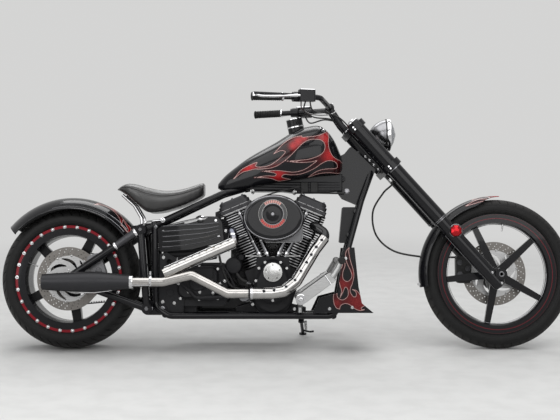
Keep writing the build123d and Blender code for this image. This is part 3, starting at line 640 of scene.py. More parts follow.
@dataclass(frozen=True)
class Brushed(Finish):
    """Metal brushed in one direction, or turned about an axle."""

    slot: str = "brushed"
    lay: Point = (0.02, 1.0, 1.0)
    turned: Point | None = None
    metallic: float = 1.0

    def shade(self, graph: Graph) -> dict[str, Value]:
        """Gives the scratches, their relief and their uneven gloss."""
        at = graph.place()
        if self.turned is None:
            lines = graph.noise(graph.spread(at, self.lay), 1.1, 3.0, 0.7)
        else:
            radius, angle, across = graph.polar(at, self.turned)
            rings = graph.node("ShaderNodeCombineXYZ", {}, {0: radius, 1: angle * 6.0, 2: across})
            lines = graph.noise(rings, 1.3, 4.0, 0.75)
        cloud = graph.noise(at, 26.0, 3.0)
        dull = tuple(channel * 0.55 for channel in self.color)
        return {
            "Base Color": graph.mix(self.color, dull, lines.ramp(0.35, 0.7) * 0.6 + cloud * 0.3),
            "Roughness": self.roughness + lines * 0.15,
            "Metallic": self.metallic,
            "Normal": graph.bump(lines, 0.02),
        }


@dataclass(frozen=True)
class Moulded(Finish):
    """Moulded black plastic or rubber with a fine pebbled skin."""

    slot: str = "black_plastic"
    pebble: float = 1.2
    depth: float = 0.06

    def shade(self, graph: Graph) -> dict[str, Value]:
        """Gives the pebbles and dry, paler patches."""
        at = graph.place()
        pebble = graph.cells(at, self.pebble)
        cloud = graph.noise(at, 40.0, 4.0, 0.6)
        dry = tuple(channel * 1.8 + 0.004 for channel in self.color)
        return {
            "Specular IOR Level": 0.25,
            "Base Color": graph.mix(self.color, dry, cloud.ramp(0.35, 0.8)),
            "Roughness": self.roughness + cloud * 0.15,
            "Normal": graph.bump(pebble, self.depth),
        }


@dataclass(frozen=True)
class TyreRubber(Finish):
    """Tyre rubber: dusty tread, raised rings on the wall and fine wear lines."""

    slot: str = "tyre"
    centre: Point = REAR_AXLE
    crown: float = 324.5
    rings: tuple[float, ...] = (258.0, 266.0, 300.0)

    def shade(self, graph: Graph) -> dict[str, Value]:
        """Gives the wall's rings, the dust and the grain."""
        at = graph.place()
        radius, angle, across = graph.polar(at, self.centre)
        dust = graph.noise(at, 24.0, 5.0, 0.7)
        worn = radius.ramp(self.crown - 26.0, self.crown - 4.0)
        raised = radius.band(self.rings[0], 1.2, 1.0)
        for ring in self.rings[1:]:
            raised = raised + radius.band(ring, 1.2, 1.0)
        ribs = (angle * 140.0).sine().ramp(0.2, 0.8) * radius.band(self.rings[0] - 6.0, 2.5, 1.0)
        grain = graph.bump(graph.noise(at, 1.6, 2.0), 0.06)
        pale = graph.mix((0.014, 0.014, 0.015), (0.042, 0.040, 0.038), dust)
        return {
            "Specular IOR Level": 0.2,
            "Base Color": graph.mix(self.color, pale, worn * 0.75 + dust.ramp(0.45, 0.8) * 0.35),
            "Roughness": 0.52 + dust * 0.3,
            "Normal": graph.bump(raised + ribs, 0.7, grain),
        }


@dataclass(frozen=True)
class Hide(Finish):
    """Saddle leather: fine grain, soft creases and a rubbed shine on top."""

    slot: str = "leather"

    def shade(self, graph: Graph) -> dict[str, Value]:
        """Gives the grain, the creases and the worn gloss."""
        at = graph.place()
        grain = graph.cells(at, 2.4, "DISTANCE_TO_EDGE")
        crease = graph.noise(graph.spread(at, (0.5, 1.0, 1.0)), 14.0, 5.0, 0.6)
        cloud = graph.noise(at, 70.0, 2.0)
        bumps = graph.bump(grain.ramp(0.0, 0.22), 0.10)
        worn = tuple(channel * 2.0 + 0.008 for channel in self.color)
        return {
            "Base Color": graph.mix(
                self.color, worn, cloud.ramp(0.4, 0.7) * 0.6 + crease.ramp(0.55, 0.8) * 0.3
            ),
            "Roughness": self.roughness + cloud * 0.12 + grain.ramp(0.12, 0.0) * 0.2,
            "Coat Weight": 0.55,
            "Coat Roughness": 0.24,
            "Normal": graph.bump(crease, 0.35, bumps),
        }


@dataclass(frozen=True)
class Insert(Finish):
    """Black enamel ring with red arcs between fine bright lines; the upper arc is paler, a painted highlight.
    """

    slot: str = "black_paint"
    centre: Point = (-64.0, 0.0, 621.0)
    arcs: tuple[Flat, ...] = ((50.0, 130.0), (205.0, 335.0))

    def shade(self, graph: Graph) -> dict[str, Value]:
        """Draws the arcs and the lines by radius and angle, with a painted highlight on the upper arc."""
        at = graph.place()
        radius, angle, _ = graph.polar(at, self.centre)
        degrees = (angle * (180.0 / math.pi) + 360.0).wrap(360.0)
        ring = radius.ramp(50.5, 51.0) * radius.ramp(63.5, 63.0)
        red: Socket | float = 0.0
        for start, end in self.arcs:
            red = degrees.ramp(start, start + 1.0) * degrees.ramp(end, end - 1.0) * ring + red
        red = red * (0.12 + abs(degrees.wrap(10.0) - 5.0).ramp(3.9, 3.1) * 0.88)
        # Painted highlight: the upper arc is mixed towards pale pink, where overhead light falls on it.
        start, end = self.arcs[0]
        pale = degrees.ramp(start, start + 1.0) * degrees.ramp(end, end - 1.0)
        lines = radius.band(65.0, 0.5, 0.3) + radius.band(49.5, 0.5, 0.3)
        speck = graph.noise(at, 3.0, 3.0)
        tone = graph.mix(self.color, graph.mix((0.46, 0.022, 0.014), (0.52, 0.24, 0.21), pale), red)
        return {
            "Base Color": graph.mix(tone, (0.45, 0.44, 0.42), lines),
            "Roughness": self.roughness + speck * 0.12,
            "Coat Weight": 0.3,
            "Coat Roughness": 0.05,
        }


@dataclass(frozen=True)
class Glass(Finish):
    """Clear or tinted glass with pressed flutes."""

    slot: str = "lens"
    flutes: float = 0.0
    clear: float = 0.85

    def shade(self, graph: Graph) -> dict[str, Value]:
        """Gives the transmission and the flutes."""
        at = graph.place()
        _, y, z = graph.parts(at)
        wave = graph.noise(at, 8.0, 1.0)
        if self.flutes:
            wave = (y * (2 * math.pi / self.flutes)).sine() * 0.5 + (z * 0.02).sine() * 0.4
        return {
            "Roughness": self.roughness + graph.noise(at, 20.0, 3.0).ramp(0.5, 0.9) * 0.05,
            "Transmission Weight": self.clear,
            "IOR": 1.46,
            "Normal": graph.bump(wave, 0.25),
        }


@dataclass(frozen=True)
class Dial(Finish):
    """Dark gauge face with pale ticks round its edge."""

    slot: str = "black_plastic"
    centre: Point = (35.8, 0.0, 1078.0)
    ticks: int = 24

    def shade(self, graph: Graph) -> dict[str, Value]:
        """Draws the ticks and the inner ring."""
        x, y, z = graph.parts(graph.place())
        x = (x - self.centre[0]) * 1.02
        radius = (x * x + y * y) ** 0.5
        angle = y.angle_over(x)
        turns = (angle * (self.ticks / (2 * math.pi))).wrap(1.0)
        tick = abs(turns - 0.5).ramp(0.38, 0.42) * radius.band(27.5, 2.2, 0.4)
        ring = radius.band(18.0, 0.5, 0.4)
        face = graph.mix(self.color, (0.75, 0.74, 0.70), tick + ring * 0.6)
        return {"Base Color": face, "Coat Weight": 1.0, "Coat Roughness": 0.02}


BLACK = Lacquer("gloss_black_paint", (0.004, 0.004, 0.005), 0.22)
SATIN = Lacquer("satin_black_paint", (0.006, 0.006, 0.007), 0.4, coat=0.2)
FLAMES = FlameLacquer("flame_lacquer", (0.004, 0.004, 0.005), 0.22)
REAR_RIM_PAINT = RimLacquer("rear_rim_paint", (0.005, 0.005, 0.006), 0.25, coat=0.16)
FRONT_RIM_PAINT = RimLacquer(
    "front_rim_paint", (0.005, 0.005, 0.006), 0.2, centre=FRONT_AXLE, ring=(276.0, 276.5), stripes=(259.0,),
    reach=20.0,
)
SPOILER_FLAMES = FlameLacquer("spoiler_lacquer", (0.004, 0.004, 0.005), 0.22, red=(0.12, 0.004, 0.007))
RED = Lacquer("candy_red_paint", (0.42, 0.012, 0.016), 0.2, flake=0.5)
WRINKLE = CastMetal("wrinkle_black_cases", (0.007, 0.007, 0.008), 0.45, metallic=0.2)
FIN_FRONT = FinnedCast("front_cylinder_fins", (0.008, 0.008, 0.009), 0.45, depth=0.05)
FIN_REAR = FinnedCast("rear_cylinder_fins", (0.008, 0.008, 0.009), 0.45, depth=0.05, tilt=-CYLINDER_TILT)
ROCKER = CastMetal("rocker_cast", (0.030, 0.030, 0.032), 0.36, depth=0.04, metallic=0.6)
CAST_GREY = CastMetal("cast_grey", (0.13, 0.13, 0.135), 0.42, metallic=0.8)
DIAL = Dial("gauge_dial", (0.012, 0.012, 0.014), 0.4)
CHROME = BrightMetal("chrome_plate", (0.62, 0.62, 0.63), 0.06)
DARK_CHROME = BrightMetal("smoked_chrome", (0.20, 0.20, 0.21), 0.12)
BOLT_STEEL = BrightMetal("bolt_steel", (0.50, 0.50, 0.50), 0.2)
EXHAUST = HeatedSteel("polished_exhaust", (0.42, 0.405, 0.39), 0.13)
MUFFLER = CastMetal("heat_black_muffler", (0.024, 0.024, 0.026), 0.38, grain=0.7, depth=0.03, metallic=0.5)
SHEEN = Brushed("brushed_alloy", (0.42, 0.42, 0.42), 0.3)
MACHINED = Brushed("machined_edge", (0.45, 0.45, 0.45), 0.25, lay=(1.0, 1.0, 0.05))
REAR_DISC = Brushed("rear_disc_steel", (0.17, 0.16, 0.15), 0.3, slot="disc_steel", turned=REAR_AXLE)
FRONT_DISC = Brushed("front_disc_steel", (0.17, 0.16, 0.15), 0.3, slot="disc_steel", turned=FRONT_AXLE)
PLASTIC = Moulded("moulded_black", (0.008, 0.008, 0.008), 0.42)
GRIP = Moulded("pebbled_grip", (0.010, 0.010, 0.010), 0.62, slot="grip_rubber", pebble=2.0, depth=0.2)
BELT = Moulded("toothed_belt_rubber", (0.018, 0.018, 0.018), 0.62, slot="belt_rubber")
HOSE = Moulded("hose_jacket", (0.018, 0.018, 0.018), 0.4, pebble=2.2, depth=0.15)
LEATHER = Hide("saddle_leather", (0.010, 0.0095, 0.0095), 0.3)
THREAD = Moulded("saddle_thread", (0.045, 0.043, 0.042), 0.6, slot="leather", pebble=0.6)
TIMER_PLATE = Brushed("turned_cover", (0.56, 0.56, 0.55), 0.18, slot="brushed", turned=(-64.0, 0.0, 357.0))
SHEEN_DARK = Brushed("dark_brushed", (0.075, 0.075, 0.08), 0.3, slot="brushed")
SHELL = BrightMetal("headlight_plate", (0.26, 0.26, 0.27), 0.24, ripple=0.003)
RED_GEM = BrightMetal("red_anodised", (0.42, 0.02, 0.025), 0.16)
AIR_INSERT = Insert("insert_enamel", (0.010, 0.010, 0.011), 0.3)
SHIELD = BrightMetal("polished_shield", (0.44, 0.43, 0.42), 0.11)
LENS = Glass("headlight_glass", (0.30, 0.31, 0.33), 0.22, flutes=9.0, clear=0.35)
REAR_RUBBER = TyreRubber("rear_tyre_rubber", (0.008, 0.008, 0.008), 0.6)
FRONT_RUBBER = TyreRubber(
    "front_tyre_rubber", (0.008, 0.008, 0.008), 0.6, centre=FRONT_AXLE, crown=347.5,
    rings=(292.0, 300.0, 322.0),
)

NODE_FINISHES: dict[Finish, tuple[str, ...]] = {
    BLACK: (
        "frame", "swingarm", "oil_tank", "rear_fender", "front_fender", "top_tree", "bottom_tree",
        "fork_leg_right", "fork_leg_left", "air_cleaner", "chin_spoiler", "fuel_tank", "primary_cover",
    ),
    WRINKLE: ("crankcase", "cam_cover", "transmission", "intake"),
    ROCKER: ("rocker_box_front", "rocker_box_rear"),
    FIN_FRONT: ("cylinder_front",),
    FIN_REAR: ("cylinder_rear",),
    CHROME: ("saddle_strap",),
    SHELL: ("headlight_shell",),
    DARK_CHROME: ("pushrod_tubes",),
    SATIN: (
        "rear_axle", "front_axle", "handlebar", "hand_controls", "side_stand", "speedometer", "regulator"
    ),
    EXHAUST: ("exhaust_pipes",),
    MUFFLER: ("muffler",),
    SHEEN: ("forward_control_right", "forward_control_left"),
    CAST_GREY: ("rear_caliper",),
    PLASTIC: ("front_caliper",),
    GRIP: ("grips",),
    BELT: ("drive_belt",),
    HOSE: ("front_brake_hose",),
    LENS: ("headlight_lens",),
    LEATHER: ("saddle",),
    FRONT_RUBBER: ("front_tyre",),
    REAR_RUBBER: ("rear_tyre",),
    FRONT_RIM_PAINT: ("front_rim",),
    REAR_RIM_PAINT: ("rear_rim",),
    FRONT_DISC: ("front_disc",),
    REAR_DISC: ("rear_disc", "rear_pulley"),
}


def dress_nodes(table: dict[Finish, tuple[str, ...]]) -> None:
    """Gives every carried-over node its finish.

    Args:
        table: Nodes by finish.
    """
    for finish, names in table.items():
        for name in names:
            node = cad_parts[name]
            for index in range(len(node.data.materials)):
                node.data.materials[index] = finish.material()
            log.info("dressed %s in %s", name, finish.name)


def inside_of(loop: np.ndarray, points: np.ndarray) -> np.ndarray:
    """Finds which flat points lie inside a closed loop.

    Args:
        loop: The loop's corners.
        points: The points.

    Returns:
        True for each point inside.
    """
    inside = np.zeros(len(points), bool)
    for (ax, ay), (bx, by) in zip(loop, np.roll(loop, -1, 0)):
        if abs(by - ay) > 1e-9:
            crosses = (ay > points[:, 1]) != (by > points[:, 1])
            inside ^= crosses & (points[:, 0] < ax + (points[:, 1] - ay) * (bx - ax) / (by - ay))
    return inside


def rounded(half_x: float, half_y: float, corner: float, steps: int = 6) -> list[Flat]:
    """Gives an oblong with round corners.

    Args:
        half_x: Half its width.
        half_y: Half its height.
        corner: Radius of its corners.
        steps: Points at each corner, less one.

    Returns:
        The closed outline.
    """
    spots = []
    for quarter, (sx, sy) in enumerate(((1, 1), (-1, 1), (-1, -1), (1, -1))):
        for step in range(steps + 1):
            a = math.pi / 2 * (quarter + step / steps)
            out, up = corner * math.cos(a), corner * math.sin(a)
            spots.append((sx * (half_x - corner) + out, sy * (half_y - corner) + up))
    return spots


def circle(x: float, y: float, radius: float, steps: int = 20) -> list[Flat]:
    """Gives the corners of a round outline."""
    return [
        (x + radius * math.cos(2 * math.pi * step / steps), y + radius * math.sin(2 * math.pi * step / steps))
        for step in range(steps)
    ]


def mirrored(outline: Sequence[Flat], side: Side) -> list[Flat]:
    """Gives an outline drawn in x and z as a frame facing a side sees it, in the way angles grow."""
    flip = -side.value
    return [(a * flip, b) for a, b in outline][::flip]


def flush(spots: Iterable[Flat], y: float, side: Side = Side.RIGHT) -> list[Matrix]:
    """Places local frames on an upright plane at the given x and z."""
    return [facing(x, y, z, side) for x, z in spots]


class Form:
    """A mesh in the making, drawn in machine millimetres."""

    def __init__(self) -> None:
        """Starts empty."""
        self.mesh = bmesh.new()

    def loft(self, rings: Sequence[Sequence[Vector]], closed: bool = True, caps: bool = True) -> Form:
        """Joins rings of points with a skin.

        Args:
            rings: Rings with the same number of points.
            closed: Whether each ring returns to its start.
            caps: Whether the first and last rings are filled.

        Returns:
            This form.
        """
        rows = [[self.mesh.verts.new(point) for point in ring] for ring in rings]
        count = len(rows[0])
        for near, far in zip(rows, rows[1:]):
            for index in range(count if closed else count - 1):
                after = (index + 1) % count
                self.mesh.faces.new((near[index], near[after], far[after], far[index]))
        if caps:
            self.mesh.faces.new(rows[0][::-1])
            self.mesh.faces.new(rows[-1])
        return self

    def lathe(self, profile: Sequence[Flat], place: Matrix, steps: int = 40, turn: float = 0.0) -> Form:
        """Turns a profile about a local z.

        Args:
            profile: Radius and height of each step.
            place: The local frame.
            steps: Number of sides.
            turn: Turn of the first side in degrees.

        Returns:
            This form.
        """
        angles = [math.radians(turn) + 2 * math.pi * step / steps for step in range(steps)]
        rings = [
            [
                place @ Vector((max(radius, 0.02) * math.cos(a), max(radius, 0.02) * math.sin(a), height))
                for a in angles
            ]
            for radius, height in profile
        ]
        return self.loft(rings)

    def tube(
        self, points: Sequence[Sequence[float]], radius: float | Sequence[float], sides: int = 12,
        caps: bool = True,
    ) -> Form:
        """Runs a round tube along a line.

        Args:
            points: The line.
            radius: Its radius, or one for each point.
            sides: Number of sides.
            caps: Whether its ends are filled.

        Returns:
            This form.
        """
        line = [Vector(point) for point in points]
        sizes = [float(radius)] * len(line) if isinstance(radius, (int, float)) else list(radius)
        rings = []
        side = Vector((0.0, 1.0, 0.0))
        for index, point in enumerate(line):
            ahead = (line[min(index + 1, len(line) - 1)] - line[max(index - 1, 0)]).normalized()
            side = side - ahead * side.dot(ahead)
            if side.length < 1e-4:
                side = ahead.orthogonal()
            side.normalize()
            up = ahead.cross(side)
            rings.append(
                [
                    point + (side * math.cos(a) + up * math.sin(a)) * sizes[index]
                    for a in (2 * math.pi * step / sides for step in range(sides))
                ]
            )
        return self.loft(rings, caps=caps)

    def plate(self, outline: Sequence[Flat], place: Matrix, depth: float, edge: float = 1.0) -> Form:
        """Raises a flat outline into a plate with a chamfered top edge.

        Args:
            outline: Its corners, counted the way angles grow.
            place: The local frame of its base.
            depth: Its thickness.
            edge: Size of the chamfer.

        Returns:
            This form.
        """
        flat = [Vector(corner[:2]) for corner in outline]
        count = len(flat)
        inner = []
        for index, corner in enumerate(flat):
            before = (corner - flat[index - 1]).normalized()
            after = (flat[(index + 1) % count] - corner).normalized()
            square = Vector((-before.y - after.y, before.x + after.x))
            square = square.normalized() if square.length > 1e-6 else Vector((-before.y, before.x))
            inner.append(corner + square * edge)
        levels = ((flat, 0.0), (flat, depth - edge), (inner, depth))
        return self.loft([[place @ Vector((*corner, height)) for corner in ring] for ring, height in levels])

    def pierced(
        self, outline: Sequence[Flat], holes: Sequence[Sequence[Flat]], place: Matrix, depth: float
    ) -> Form:
        """Raises a flat outline with holes into a plate.

        Args:
            outline: Its corners.
            holes: Corners of each hole.
            place: The local frame of its base.
            depth: Its thickness.

        Returns:
            This form.
        """
        loops = [[Vector(corner[:2]) for corner in loop] for loop in (outline, *holes)]
        flat = [corner for loop in loops for corner in loop]
        edges, first = [], 0
        for loop in loops:
            edges += [(first + index, first + (index + 1) % len(loop)) for index in range(len(loop))]
            first += len(loop)
        spots, _, faces, *_ = delaunay_2d_cdt(flat, edges, [], 0, 1e-5)
        field = [np.array([tuple(corner) for corner in loop]) for loop in loops]
        middles = np.array(
            [tuple(sum((spots[i] for i in face), Vector((0.0, 0.0))) / len(face)) for face in faces]
        )
        kept = inside_of(field[0], middles)
        for hole in field[1:]:
            kept &= ~inside_of(hole, middles)
        base = [self.mesh.verts.new(place @ Vector((*spot, 0.0))) for spot in spots]
        lid = [self.mesh.verts.new(place @ Vector((*spot, depth))) for spot in spots]
        for face, keep in zip(faces, kept):
            if keep:
                self.mesh.faces.new([lid[i] for i in face])
                self.mesh.faces.new([base[i] for i in reversed(face)])
        for a, b in edges:
            self.mesh.faces.new((base[a], base[b], lid[b], lid[a]))
        return self

    def disc(self, place: Matrix, radius: float, depth: float, edge: float = 1.0, steps: int = 40) -> Form:
        """Adds a round plate with a chamfered edge."""
        profile = [(0.0, 0.0), (radius, 0.0), (radius, depth - edge), (radius - edge, depth), (0.0, depth)]
        return self.lathe(profile, place, steps)

    def ring(
        self, place: Matrix, inner: float, outer: float, depth: float, edge: float = 0.8, steps: int = 56
    ) -> Form:
        """Adds a flat ring with eased edges."""
        profile = [
            (inner, 0.0), (outer, 0.0), (outer, depth - edge), (outer - edge, depth), (inner + edge, depth),
            (inner, depth - edge), (inner, 0.0),
        ]
        angles = [2 * math.pi * step / steps for step in range(steps)]
        rings = [[place @ Vector((r * math.cos(a), r * math.sin(a), h)) for a in angles] for r, h in profile]
        return self.loft(rings, caps=False)

    def bolt(self, place: Matrix, radius: float, head: Head = Head.HEX, washer: bool = True) -> Form:
        """Adds a bolt head that stands on its local plane.

        Args:
            place: The local frame.
            radius: Half its width.
            head: Its kind.
            washer: Whether a washer lies under it.

        Returns:
            This form.
        """
        sunk, lift = 0.5, 0.0
        wide, tall = radius * 1.4, radius * 0.75
        if washer:
            lift = 1.4
            self.lathe([(0, -sunk), (wide, -sunk), (wide, 1.0), (radius * 1.3, lift), (0, lift)], place, 20)
        foot, top = [(0, lift - sunk), (radius, lift - sunk)], lift + tall
        if head is Head.HEX:
            return self.lathe([*foot, (radius, lift + tall * 0.8), (radius * 0.86, top), (0, top)], place, 6)
        if head is Head.SOCKET:
            rim, floor = lift + tall * 1.15, lift + tall * 0.5
            hollow = [(radius * 0.88, rim), (radius * 0.52, rim), (radius * 0.45, floor), (0, floor)]
            return self.lathe([*foot, (radius, top), *hollow], place, 18)
        arc = [(radius * math.cos(a), lift + tall * math.sin(a)) for a in np.linspace(0.0, math.pi / 2, 6)]
        return self.lathe([*foot, *arc], place, 18)

    def bent(
        self, route: Sequence[Sequence[float]], radius: float, sides: int = 8, steps: int = 8
    ) -> Form:
        """Runs a round tube along a smooth line through a few points."""
        return self.tube(curve(route, steps), radius, sides)

    def bolts(
        self, places: Iterable[Matrix], radius: float, head: Head = Head.HEX, washer: bool = True
    ) -> Form:
        """Adds the same bolt head at many places."""
        for place in places:
            self.bolt(place, radius, head, washer)
        return self

    def grid(self, rows: Sequence[Sequence[Vector]]) -> Form:
        """Adds an open skin over rows of points."""
        return self.loft(rows, closed=False, caps=False)

    def cut(self, loops: Sequence[Sequence[Vector]], reach: float) -> Form:
        """Takes out the faces inside round openings.

        Args:
            loops: The openings' edges.
            reach: Their radius.

        Returns:
            This form.
        """
        well_inside = reach * 0.97
        centres = [sum(loop[:-1], Vector()) / (len(loop) - 1) for loop in loops]
        inside = [
            face
            for face in self.mesh.faces
            if any((face.calc_center_median() - spot).length < well_inside for spot in centres)
        ]
        bmesh.ops.delete(self.mesh, geom=inside, context="FACES")
        return self

    def make(
        self,
        name: str,
        finish: Finish,
        body: Body = Body.CHASSIS,
        replaces: Sequence[str] = (),
        sharp: float = 32.0,
    ) -> bpy.types.Object:
        """Turns the form into a piece of the scene that rides on a body.

        Args:
            name: Name of the piece.
            finish: Its finish.
            body: The body that it moves with.
            replaces: Carried-over nodes that it stands for.
            sharp: Angle in degrees above which an edge stays crisp.

        Returns:
            The piece.
        """
        bmesh.ops.remove_doubles(self.mesh, verts=self.mesh.verts, dist=MERGE_GAP)
        bmesh.ops.recalc_face_normals(self.mesh, faces=self.mesh.faces)
        self.mesh.transform(UPRIGHT)
        for face in self.mesh.faces:
            face.smooth = True
        limit = math.radians(sharp)
        for edge in self.mesh.edges:
            edge.smooth = len(edge.link_faces) < 2 or edge.calc_face_angle(0.0) < limit
        data = bpy.data.meshes.new(name)
        self.mesh.to_mesh(data)
        self.mesh.free()
        return seat_piece(bpy.data.objects.new(name, data), finish, body, replaces)


def seat_piece(
    made: bpy.types.Object, finish: Finish, body: Body, replaces: Sequence[str] = ()
) -> bpy.types.Object:
    """Gives a new object its finish, its body and the nodes that it stands for.

    Args:
        made: The object, with its mesh in place.
        finish: Its finish.
        body: The body that it moves with.
        replaces: Carried-over nodes that it stands for.

    Returns:
        The piece.
    """
    bpy.context.scene.collection.objects.link(made)
    made.data.materials.append(finish.material())
    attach(made, body.value)
    if replaces:
        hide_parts(*replaces)
    log.info("built %s in %s on %s, %d faces", made.name, finish.name, body.value, len(made.data.polygons))
    return made


def around(centre: Point, radius: float, y: float, count: int, first: float, side: Side) -> list[Matrix]:
    """Places local frames evenly round a wheel or cover.

    Args:
        centre: Centre, whose y is not used.
        radius: Radius of the ring.
        y: Place across.
        count: How many.
        first: Angle of the first in degrees, growing from forward to up.
        side: Side that they face.

    Returns:
        The local frames.
    """
    frames = []
    for index in range(count):
        angle = math.radians(first + 360.0 * index / count)
        out, up = radius * math.cos(angle), radius * math.sin(angle)
        frames.append(facing(centre[0] + out, y, centre[2] + up, side))
    return frames


@dataclass
class Tyre:
    """Tyre with rain grooves round its crown and slanted cuts across it."""

    name: str
    centre: Point
    radius: float
    width: float
    crown: float
    seat: float
    bead: float
    lines: tuple[float, ...]
    blocks: int
    deep: float
    finish: Finish
    body: Body
    tread: float = 0.47
    skew: float = 0.011

    def wall(self, shoulder: Vector) -> list[Vector]:
        """Gives the side arc from the shoulder to the rim.

        Args:
            shoulder: Distance out and radius where the tread ends.

        Returns:
            Points of the arc after the shoulder.
        """
        middle = Vector((self.width / 2, (shoulder.y + self.seat) / 2))
        foot = Vector((self.bead, self.seat))
        a, b = middle - shoulder, foot - shoulder
        scale = 2 * (a.x * b.y - a.y * b.x)
        near, far = a.length_squared, b.length_squared
        hub = shoulder + Vector((b.y * near - a.y * far, a.x * far - b.x * near)) / scale
        first = math.atan2(shoulder.y - hub.y, shoulder.x - hub.x)
        last = math.atan2(foot.y - hub.y, foot.x - hub.x)
        reach = (foot - hub).length
        turns = np.linspace(first, last, 13)[1:]
        return [hub + Vector((math.cos(turn), math.sin(turn))) * reach for turn in turns]

    def build(self) -> None:
        """Builds the tyre from rows that run round it."""
        edge = self.width * self.tread
        spots = {
            round(y, 2) for y in np.linspace(0, edge, 18) if all(abs(y - line) > 4.6 for line in self.lines)
        }
        spots |= {line + shift for line in self.lines for shift in (-3.2, -2.2, 2.2, 3.2)}
        rows: list[tuple[float, float, float, float, float, float]] = []
        for y in sorted(spots):
            out = math.sqrt(self.crown**2 - y * y)
            ring = 1.0 if any(abs(y - line) < 2.7 for line in self.lines) else 0.0
            across = float(
                np.clip((y - self.lines[0] - 6.0) / 2.0, 0, 1) * np.clip((edge - 3.0 - y) / 5.0, 0, 1)
            )
            rows.append((y, self.radius - self.crown + out, y / self.crown, out / self.crown, ring, across))
        side = [(spot.x, spot.y, 0.0, 0.0, 0.0, 0.0) for spot in self.wall(Vector(rows[-1][:2]))]
        half = [*rows, *side, (self.bead, self.seat - 14.0, 0.0, 0.0, 0.0, 0.0)]
        shares = ((0.0, 0.0), (0.05, 1.0), (0.12, 1.0), (0.17, 0.0), (0.45, 0.0), (0.72, 0.0))
        rings = []
        for hand, part in ((-1.0, half[:0:-1]), (1.0, half)):
            for y, radius, lean, out, line_cut, block_cut in part:
                ring = []
                for block in range(self.blocks):
                    for share, cut in shares:
                        angle = 2 * math.pi * (block + share + min(y, edge) * self.skew) / self.blocks
                        drop = self.deep * max(line_cut, block_cut * cut)
                        reach = radius - drop * out
                        x, z = self.centre[0] + reach * math.sin(
                            angle
                        ), self.centre[2] + reach * math.cos(angle)
                        ring.append(Vector((x, hand * (y - drop * lean), z)))
                rings.append(ring)
        rings.append(rings[0])
        Form().loft(rings, caps=False).make(
            f"{self.name}_treaded", self.finish, self.body, (self.name,), sharp=50.0
        )


@dataclass
class RearWheel:
    """Studded rim, brake disc bolts, valve and the pulley's bolts."""

    studs: int = 26
    stud_ring: float = 239.0
    first_stud: float = 95.3
    lip: float = 108.0
    disc_y: float = -108.0

    def build(self) -> None:
        """Builds the wheel's fine pieces."""
        studs = Form()
        for side in Side:
            ring = around(REAR_AXLE, self.stud_ring, side.value * self.lip, self.studs, self.first_stud, side)
            studs.bolts(ring, 5.8, Head.DOME)
        studs.make("rear_rim_studs", CHROME, Body.REAR_WHEEL)
        Form().bolts(around(REAR_AXLE, 36.0, self.disc_y, 5, 20.0, Side.RIGHT), 5.0, Head.SOCKET).make(
            "rear_disc_bolts", BOLT_STEEL, Body.REAR_WHEEL
        )
        valve = Form()
        angle = math.radians(160.0)
        out = Vector((math.cos(angle), 0.0, math.sin(angle)))
        foot = Vector(REAR_AXLE) + out * 199.0 + Vector((0.0, -40.0, 0.0))
        valve.tube([foot, foot - out * 34.0], [4.0, 3.0])
        valve.make("rear_valve", BOLT_STEEL, Body.REAR_WHEEL)
        Form().bolts(around(REAR_AXLE, 32.0, 145.5, 5, 30.0, Side.LEFT), 6.0).make(
            "rear_pulley_bolts", BOLT_STEEL, Body.REAR_WHEEL
        )


@dataclass
class FrontWheel:
    """Front disc bolts, valve and hub caps."""

    disc_y: float = 62.0

    def build(self) -> None:
        """Builds the wheel's fine pieces."""
        Form().bolts(around(FRONT_AXLE, 25.0, self.disc_y, 5, 10.0, Side.LEFT), 4.2, Head.SOCKET).make(
            "front_disc_bolts", BOLT_STEEL, Body.FRONT_WHEEL
        )
        valve = Form()
        angle = math.radians(82.0)
        out = Vector((math.cos(angle), 0.0, math.sin(angle)))
        foot = Vector(FRONT_AXLE) + out * 236.0 + Vector((0.0, -14.0, 0.0))
        valve.tube([foot, foot - out * 20.0, foot - out * 36.0], [4.5, 4.0, 3.0])
        valve.make("front_valve", BOLT_STEEL, Body.FRONT_WHEEL)
        # Painted highlights: thin smoked-chrome rings at the rim's inner edges, where highlight arcs fall on
        # the black rim.
        highlight_rings = Form()
        for side in Side:
            loop = around(FRONT_AXLE, 232.0, side.value * 26.0, 96, 0.0, side)
            highlight_rings.tube([spot.to_translation() for spot in (*loop, loop[0])], 1.1, 6)
        highlight_rings.make("front_rim_highlight_rings", DARK_CHROME, Body.FRONT_WHEEL)
        Form().lathe(
            [(0, 0), (30, 0), (30, 6), (26, 9), (20, 9), (19, 7), (14, 7)], facing(987, -52, 347.9), 40
        ).make("front_hub_cap", BLACK, Body.FRONT_WHEEL)


def flame_field(outlines: Sequence[Sequence[Flat]], points: np.ndarray) -> np.ndarray:
    """Measures how far points lie from the edge of a flame.

    Args:
        outlines: Closed outlines, each smoothed through its corners.
        points: Array of flat points.

    Returns:
        The distances, negative inside.
    """
    near = np.full(len(points), 1e9)
    inside = np.zeros(len(points), bool)
    for outline in outlines:
        line = np.array([spot[:2] for spot in curve(outline, 6, True)])
        inside ^= inside_of(line, points)
        for (ax, ay), (bx, by) in zip(line, np.roll(line, -1, 0)):
            dx, dy = bx - ax, by - ay
            long = dx * dx + dy * dy
            if long < 1e-9:
                continue
            t = np.clip(((points[:, 0] - ax) * dx + (points[:, 1] - ay) * dy) / long, 0.0, 1.0)
            gap = np.hypot(points[:, 0] - ax - t * dx, points[:, 1] - ay - t * dy)
            near = np.minimum(near, gap)
    return np.where(inside, -near, near)


